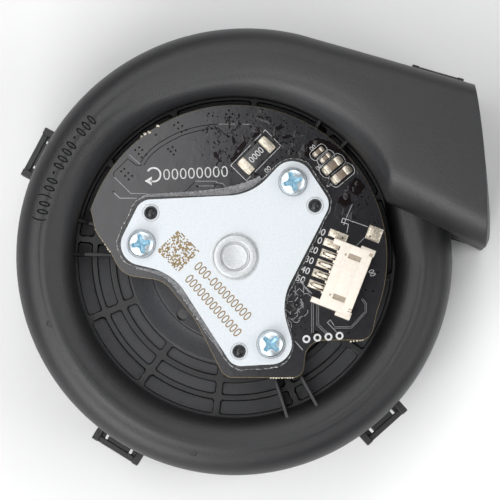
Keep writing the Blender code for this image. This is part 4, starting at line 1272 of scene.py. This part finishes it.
def mound_bm(cx, cy, z, lx, ly, h, deg, bm, n=3.0, seed=0):
    """A solder fillet: a flattened superellipse dome."""
    m = bmesh.ops.create_uvsphere(bm, u_segments=28, v_segments=14, radius=1.0)["verts"]
    for v in m:
        r = max(abs(v.co.x), abs(v.co.y), 1e-9)
        f = (abs(v.co.x) ** n + abs(v.co.y) ** n) ** (1 / n) / max(1e-9, math.hypot(v.co.x, v.co.y))
        v.co.x /= max(f, 0.6)
        v.co.y /= max(f, 0.6)
        v.co = Vector((v.co.x * lx / 2, v.co.y * ly / 2, max(v.co.z, -0.05) * h))
        v.co *= 1 + 0.05 * noise.noise(v.co * 1.3 + Vector((cx, cy, seed)))
    bmesh.ops.rotate(bm, matrix=Matrix.Rotation(math.radians(deg), 3, 'Z'), verts=m)
    bmesh.ops.translate(bm, vec=(cx, cy, z), verts=m)


def component(name, c, deg, L, W, H, body_mat, end, nodes, endmat="tin", solder=0.35):
    bm = box_bm(c[0], c[1], TOP - 0.2, TOP + H - 0.06, L - 2 * end + 0.1, W - 0.10, deg, None, 0.08, 2)
    from_bm(name + "_body", bm, body_mat, nodes)
    bm = bmesh.new()
    for s in (-1, 1):
        x, y = local(c, deg, s * (L / 2 - end / 2), 0)
        box_bm(x, y, TOP - 0.25, TOP + H, end, W, deg, bm, 0.12, 3)
        if solder:
            x, y = local(c, deg, s * (L / 2 + solder * 0.4), 0)
            mound_bm(x, y, BOARD_Z, solder * 2.4, W * 1.02, H * 0.55, deg, bm)
    from_bm(name + "_ends", bm, endmat, nodes)


component("shunt", (3.9, 18.5), 46.0, 6.4, 3.1, 0.62, "epoxy", 1.25, ["shunt_resistor"], solder=0.28)
bm = bmesh.new()
for s in (-1, 1):
    x, y = local((3.9, 18.5), 46.0, s * 2.05, 0)
    box_bm(x, y, TOP + 0.55, TOP + 0.66, 0.20, 3.0, 46.0, bm, 0.04, 1)
from_bm("shunt_lines", bm, "flux", ["shunt_resistor"])
text_obj("shunt_digits", "0000", (3.9, 18.5), 46.0, 1.75, TOP + 0.57, "silk", width=0.92, bold=-0.01)
component("cap_a", px(332.8, 165.0), 40.0, 3.2, 1.6, 1.25, "ceramic", 0.85, ["capacitor_large_1"])
component("cap_b", px(341.6, 174.2), 40.0, 3.2, 1.6, 1.25, "ceramic", 0.85, ["capacitor_large_2"])
component("cap_c", px(318.6, 151.3), 40.0, 1.7, 0.95, 0.75, "ceramic", 0.45, ["capacitor_small_1"], solder=0.2)
component("cap_d", px(325.7, 157.4), 40.0, 1.7, 0.95, 0.75, "ceramic", 0.45, ["capacitor_small_2"], solder=0.2)


def header(u, v):
    return local(HEADER, HEADER_DEG, u, v)


# header body: shell with open mouth, windows and side ears
bm = bmesh.new()
L2, D2, Hh = 11.9 / 2, 7.7 / 2, 5.6


def hb(u0, u1, v0, v1, z0, z1, bevel=0.10):
    x, y = header((u0 + u1) / 2, (v0 + v1) / 2)
    box_bm(x, y, z0, z1, u1 - u0, v1 - v0, HEADER_DEG, bm, bevel, 2)


z0, z1 = BOARD_Z + 0.05, TOP + Hh
win = ((0.75, 3.9), (0.75, -3.9))
hb(-2.4, -1.3, -5.9, 5.9, z0, z1 - 0.02)                          # back wall
hb(-3.95, 3.68, 5.0, 5.98, z0, z1 - 0.03)                         # end walls, longer at the back
hb(-3.95, 3.62, -6.3, -5.35, z0, z1 - 0.03)
hb(-2.3, 3.6, -5.6, 5.4, z0, z0 + 0.9)                            # floor
top0 = z1 - 0.8
hb(-2.42, -0.42, -5.95, 5.9, top0, z1, 0.10)                      # roof, round two windows
hb(1.92, 3.7, -5.85, 5.6, top0, z1, 0.10)
hb(-0.6, 2.1, -3.4, 3.46, top0, z1 - 0.004, 0.03)
hb(-0.6, 2.1, 4.42, 5.9, top0, z1 - 0.004, 0.03)
hb(-0.6, 2.1, -5.95, -4.38, top0, z1 - 0.004, 0.03)
hb(1.14, 3.93, 5.3, 6.5, z0, z1 - 0.55)                            # ears
hb(1.05, 3.93, -7.0, -5.6, z0, z1 - 0.75)
hb(1.3, 3.7, 5.35, 6.2, z0, z1 - 0.12)
from_bm("header_shell", bm, "cream", ["connector_housing"], angle=40)
# dark boxes paint the shade inside the roof windows and in the small holes on top
bm = bmesh.new()
for u, v in win:
    x, y = header(u, v)
    box_bm(x, y, top0 - 0.6, z1 - 0.22, 2.4, 1.02, HEADER_DEG, bm)
    x, y = header(u - 1.75, v)
    box_bm(x, y, z1 - 0.02, z1 + 0.004, 0.34, 0.42, HEADER_DEG, bm)
x, y = header(3.3, 5.45)
box_bm(x, y, z1 - 0.1, z1 + 0.004, 0.62, 0.62, HEADER_DEG, bm)
for w in (-5.1, -5.55):
    x, y = header(3.35, w)
    box_bm(x, y, z1 - 0.1, z1 + 0.004, 0.7, 0.2, HEADER_DEG, bm)
from_bm("header_windows", bm, "cream_dark", ["connector_housing"])

pads = bmesh.new()
leads = bmesh.new()
solder = bmesh.new()
pockets = bmesh.new()
for k, (u0, v0) in enumerate(((316.4, 285.4), (320.6, 274.6), (324.6, 264.6), (328.8, 254.6), (331.6, 243.8))):
    x, y = px(u0, v0)
    c = ((x - HEADER[0]), (y - HEADER[1]))
    a = pol(1, HEADER_DEG)
    hu, hv = c[0] * a[0] + c[1] * a[1], -c[0] * a[1] + c[1] * a[0]
    box_bm(x, y, BOARD_Z - 0.02, BOARD_Z + 0.06, 3.0, 1.42, HEADER_DEG, pads, 0.03, 1)
    if k < 4:
        mound_bm(*header(hu - 0.1, hv), BOARD_Z + 0.05, 2.75, 1.25, 0.26, HEADER_DEG, solder, seed=k)
        pts = [(-2.2, 28.3), (hu + 1.75, 28.3), (hu + 1.5, 28.0), (hu + 1.35, 25.75), (hu + 1.0, 25.5),
               (hu - 0.72, 25.46), (hu - 0.85, 25.2), (hu + 1.1, 25.1), (hu + 1.6, 25.4), (hu + 1.75, 27.75),
               (-2.2, 27.8)]
        a = [leads.verts.new((*header(u, hv - 0.25), z)) for u, z in pts]
        b = [leads.verts.new((*header(u, hv + 0.25), z)) for u, z in pts]
        leads.faces.new(a)
        leads.faces.new(b[::-1])
        for i in range(len(pts)):
            j = (i + 1) % len(pts)
            leads.faces.new((a[j], a[i], b[i], b[j]))
        # a dark ring round the lead's foot and a dark block under its bend paint the shade there
        ring = [header(hu - 0.2 + 0.92 * math.cos(w), hv + 0.36 * math.sin(w))
                for w in [2 * math.pi * i / 28 for i in range(28)]]
        ribbon_bm(ring, 0.13, BOARD_Z + 0.34, True, pockets, 0.16)
        x, y = header(hu + 1.12, hv)
        box_bm(x, y, BOARD_Z, BOARD_Z + 0.50, 0.62, 0.98, HEADER_DEG, pockets, 0.03, 1)
    else:
        mound_bm(*header(hu, hv), BOARD_Z + 0.05, 2.8, 1.2, 0.14, HEADER_DEG, solder, n=5, seed=k)
    x, y = header(-0.2, (k - 2) * 2.0)
    box_bm(x, y, 27.5, 28.05, 5.0, 0.5, HEADER_DEG, leads, 0.08, 2)
x, y = px(338.4, 235.1)
box_bm(x, y, BOARD_Z - 0.02, BOARD_Z + 0.05, 3.55, 1.35, HEADER_DEG, pads, 0.02, 1)
mound_bm(x, y, BOARD_Z + 0.03, 3.4, 1.25, 0.15, HEADER_DEG, solder, seed=21)
x, y = px(374.5, 233.7)
box_bm(x, y, BOARD_Z - 0.02, BOARD_Z + 0.05, 2.75, 2.6, HEADER_DEG, pads, 0.02, 1)
mound_bm(x, y, BOARD_Z + 0.03, 2.6, 2.45, 0.17, HEADER_DEG, solder, n=5, seed=22)
# dark discs paint the shade in the pad holes
holes_bm = bmesh.new()
for u, v in ((342.8, 237.8), (370.3, 236.2)):
    dot(*px(u, v), 0.17, BOARD_Z + 0.22, holes_bm)
from_bm("pad_holes", holes_bm, "groove")
from_bm("pads", pads, "tin", bevel=0.0)
from_bm("solder", solder, "flux")
from_bm("lead_pockets", pockets, "groove")
from_bm("header_leads", leads, "tin", [f"connector_pin_{k + 1}" for k in range(5)], bevel=0.05)


# --------------------------------------------------------------------- screws
def screw_at(k, deg, turn):
    cx, cy = pol(SCREW_R, deg)
    bm = turned_bm([(0, 28.85), (1.0, 28.84), (1.7, 28.76), (2.12, 28.56), (2.36, 28.2), (2.47, 27.7),
                    (2.5, 27.2), (2.44, 27.0), (1.0, 26.95), (1.0, 20.6), (0.5, 20.0), (0, 20.0)],
                   72, 0, 0, False)
    for v in bm.verts:
        v.co = Vector(v.co) * 1.0
    mesh = bpy.data.meshes.new("head")
    bmesh.ops.recalc_face_normals(bm, faces=bm.faces)
    bm.to_mesh(mesh)
    bm.free()
    mesh.materials.append(M["screw"])
    mesh.materials.append(M["recess"])
    head = bpy.data.objects.new(f"screw_{k + 1}", mesh)
    bpy.context.scene.collection.objects.link(head)
    cb = bmesh.new()
    outline_top, outline_low = [], []
    for q in range(4):
        base_deg = 90.0 * q
        for out_l, (tip, half) in ((outline_top, (2.12, 0.60)), (outline_low, (1.30, 0.40))):
            ca, sa = math.cos(math.radians(base_deg)), math.sin(math.radians(base_deg))
            root = half * 1.18
            for lx, ly in ((tip * 0.96, -half * 0.72), (tip, 0.0), (tip * 0.96, half * 0.72),
                           (root * 1.28, root * 0.80), (root * 0.80, root * 1.28)):
                out_l.append((lx * ca - ly * sa, lx * sa + ly * ca))
    low = [cb.verts.new((x, y, -0.75)) for x, y in outline_low]
    high = [cb.verts.new((x, y, 0.55)) for x, y in outline_top]
    m = len(low)
    for i in range(m):
        j = (i + 1) % m
        cb.faces.new((low[i], low[j], high[j], high[i]))
    tip_v = cb.verts.new((0, 0, -1.3))
    for i in range(m):
        cb.faces.new((low[(i + 1) % m], low[i], tip_v))
    cb.faces.new(high)
    bmesh.ops.translate(cb, vec=(0, 0, 28.75), verts=cb.verts)
    bmesh.ops.rotate(cb, matrix=Matrix.Rotation(math.radians(turn), 3, 'Z'), verts=cb.verts)
    bmesh.ops.recalc_face_normals(cb, faces=cb.faces)
    cm = bpy.data.meshes.new("cross")
    cb.to_mesh(cm)
    cb.free()
    cm.materials.append(M["recess"])
    cross = bpy.data.objects.new("cross", cm)
    bpy.context.scene.collection.objects.link(cross)
    mod = head.modifiers.new("cut", 'BOOLEAN')
    mod.operation = 'DIFFERENCE'
    mod.solver = 'EXACT'
    mod.use_self = True
    mod.material_mode = 'TRANSFER'
    mod.object = cross
    bpy.context.view_layer.update()
    out = bpy.data.meshes.new_from_object(head.evaluated_get(bpy.context.evaluated_depsgraph_get()))
    head.modifiers.clear()
    head.data = out
    bpy.data.objects.remove(cross, do_unlink=True)
    for v in out.vertices:
        v.co = Vector(to_frame((v.co.x + cx, v.co.y + cy, v.co.z)))
    finish_piece(head, [f"plate_screw_{k + 1}"], bevel=0.05, segments=2, angle=30)


for k, (deg, turn) in enumerate(zip(SCREW_DEG, (18.0, 12.0, 47.0))):
    screw_at(k, deg, turn)

# laser marks: generic digits and a block of cells that encodes nothing
text_obj("laser_line_1", "000-000000000", px(222.5, 291.5), -45.6, 2.6, PLATE_Z1 + 0.004, "laser", width=0.84,
         thick=0.012, bold=0.004)
text_obj("laser_line_2", "0000000000000", px(213.0, 306.0), -48.2, 2.6, PLATE_Z1 + 0.004, "laser",
         width=0.84, thick=0.012, bold=0.004)
bm = bmesh.new()
rng = random.Random(77)
c0 = px(178.3, 251.0)
cells, size = 22, 5.5 / 22
for i in range(cells):
    for j in range(cells):
        edge_cell = i in (0, cells - 1) or j in (0, cells - 1)
        if rng.random() < (0.55 if not edge_cell else 0.62):
            u, v = (i - cells / 2 + .5) * size, (j - cells / 2 + .5) * size
            x, y = local(c0, -46.0, u, v)
            box_bm(x, y, PLATE_Z1, PLATE_Z1 + 0.012, size * 0.98, size * 0.98, -46.0, bm)
from_bm("laser_cells", bm, "laser")

# ------------------------------------------------ carried-over CAD nodes' looks
LOOK = {"steel": "steel", "brass": "brass", "silicon_steel": "lamination", "copper": "copper", "nylon": "nylon",
        "magnet": "magnet", "rotor_plastic": "rotor_plastic", "chip": "epoxy", "charcoal": "charcoal",
        "zinc": "boss", "screw_zinc": "screw", "board": "board", "film": "film", "cream": "cream", "tin": "tin",
        "ceramic": "ceramic"}
slots = {s["node"]: s["material_slot"] for s in frame["record"]["subparts"]}
for name, obj in frame["nodes"].items():
    obj.data.materials.clear()
    obj.data.materials.append(M[LOOK[slots[name]]])
    if name.startswith(("impeller", "stator_coil", "rotor_cup", "stator_core")):
        b = obj.modifiers.new("Bevel", 'BEVEL')
        b.width = 0.00018
        b.segments = 2
        b.limit_method = 'ANGLE'
        b.angle_limit = math.radians(40)

# ------------------------------------------------------------- stage and light
bm = bmesh.new()
bmesh.ops.create_grid(bm, x_segments=8, y_segments=8, size=1.5)
mesh = bpy.data.meshes.new("table")
bm.to_mesh(mesh)
bm.free()
mesh.materials.append(table_material())
table = bpy.data.objects.new("table", mesh)
bpy.context.scene.collection.objects.link(table)
table.location = (0, 0, -0.00005)


def softbox(name, loc, aim, size, power, colour=(1, 1, 1), size_y=None):
    data = bpy.data.lights.new(name, 'AREA')
    data.shape = 'RECTANGLE'
    data.size = size
    data.size_y = size_y or size
    data.energy = power
    data.color = colour
    obj = bpy.data.objects.new(name, data)
    obj.location = loc
    d = Vector(aim) - Vector(loc)
    obj.rotation_euler = d.to_track_quat('-Z', 'Y').to_euler()
    bpy.context.scene.collection.objects.link(obj)
    return obj


softbox("overhead_left", (-0.218, -0.06, 0.40), (-0.218, -0.06, 0.0), 0.42, 2.3, size_y=0.76)
softbox("front_left", (-0.30, -0.58, 0.44), (0, 0, 0.01), 0.45, 3.9)
softbox("right", (0.66, -0.10, 0.60), (0.05, 0, 0.01), 0.6, 3.2)
softbox("back", (0.15, 0.70, 0.60), (0.03, 0.03, 0.01), 0.6, 2.6)
bpy.context.scene.view_settings.view_transform = "Standard"

world = bpy.data.worlds.new("studio")
world.use_nodes = True
world.node_tree.nodes["Background"].inputs[0].default_value = (0.95, 0.97, 1.0, 1)
world.node_tree.nodes["Background"].inputs[1].default_value = 0.12
bpy.context.scene.world = world

cam_data = bpy.data.cameras.new("camera")
cam_data.sensor_width = 36.0
DIST = 1.30
cam_data.lens = 36.0 * DIST / 0.0909
cam_data.clip_end = 10.0
cam_data.clip_start = 0.01
cam = bpy.data.objects.new("camera", cam_data)
LEAN = 0.028
cam.location = ((AX + 2.73) * 1e-3, (AY + 1.2) * 1e-3 - LEAN, 0.0269 + DIST)
cam.rotation_euler = (math.atan(LEAN / DIST), 0, 0)
bpy.context.scene.collection.objects.link(cam)
bpy.context.scene.camera = cam
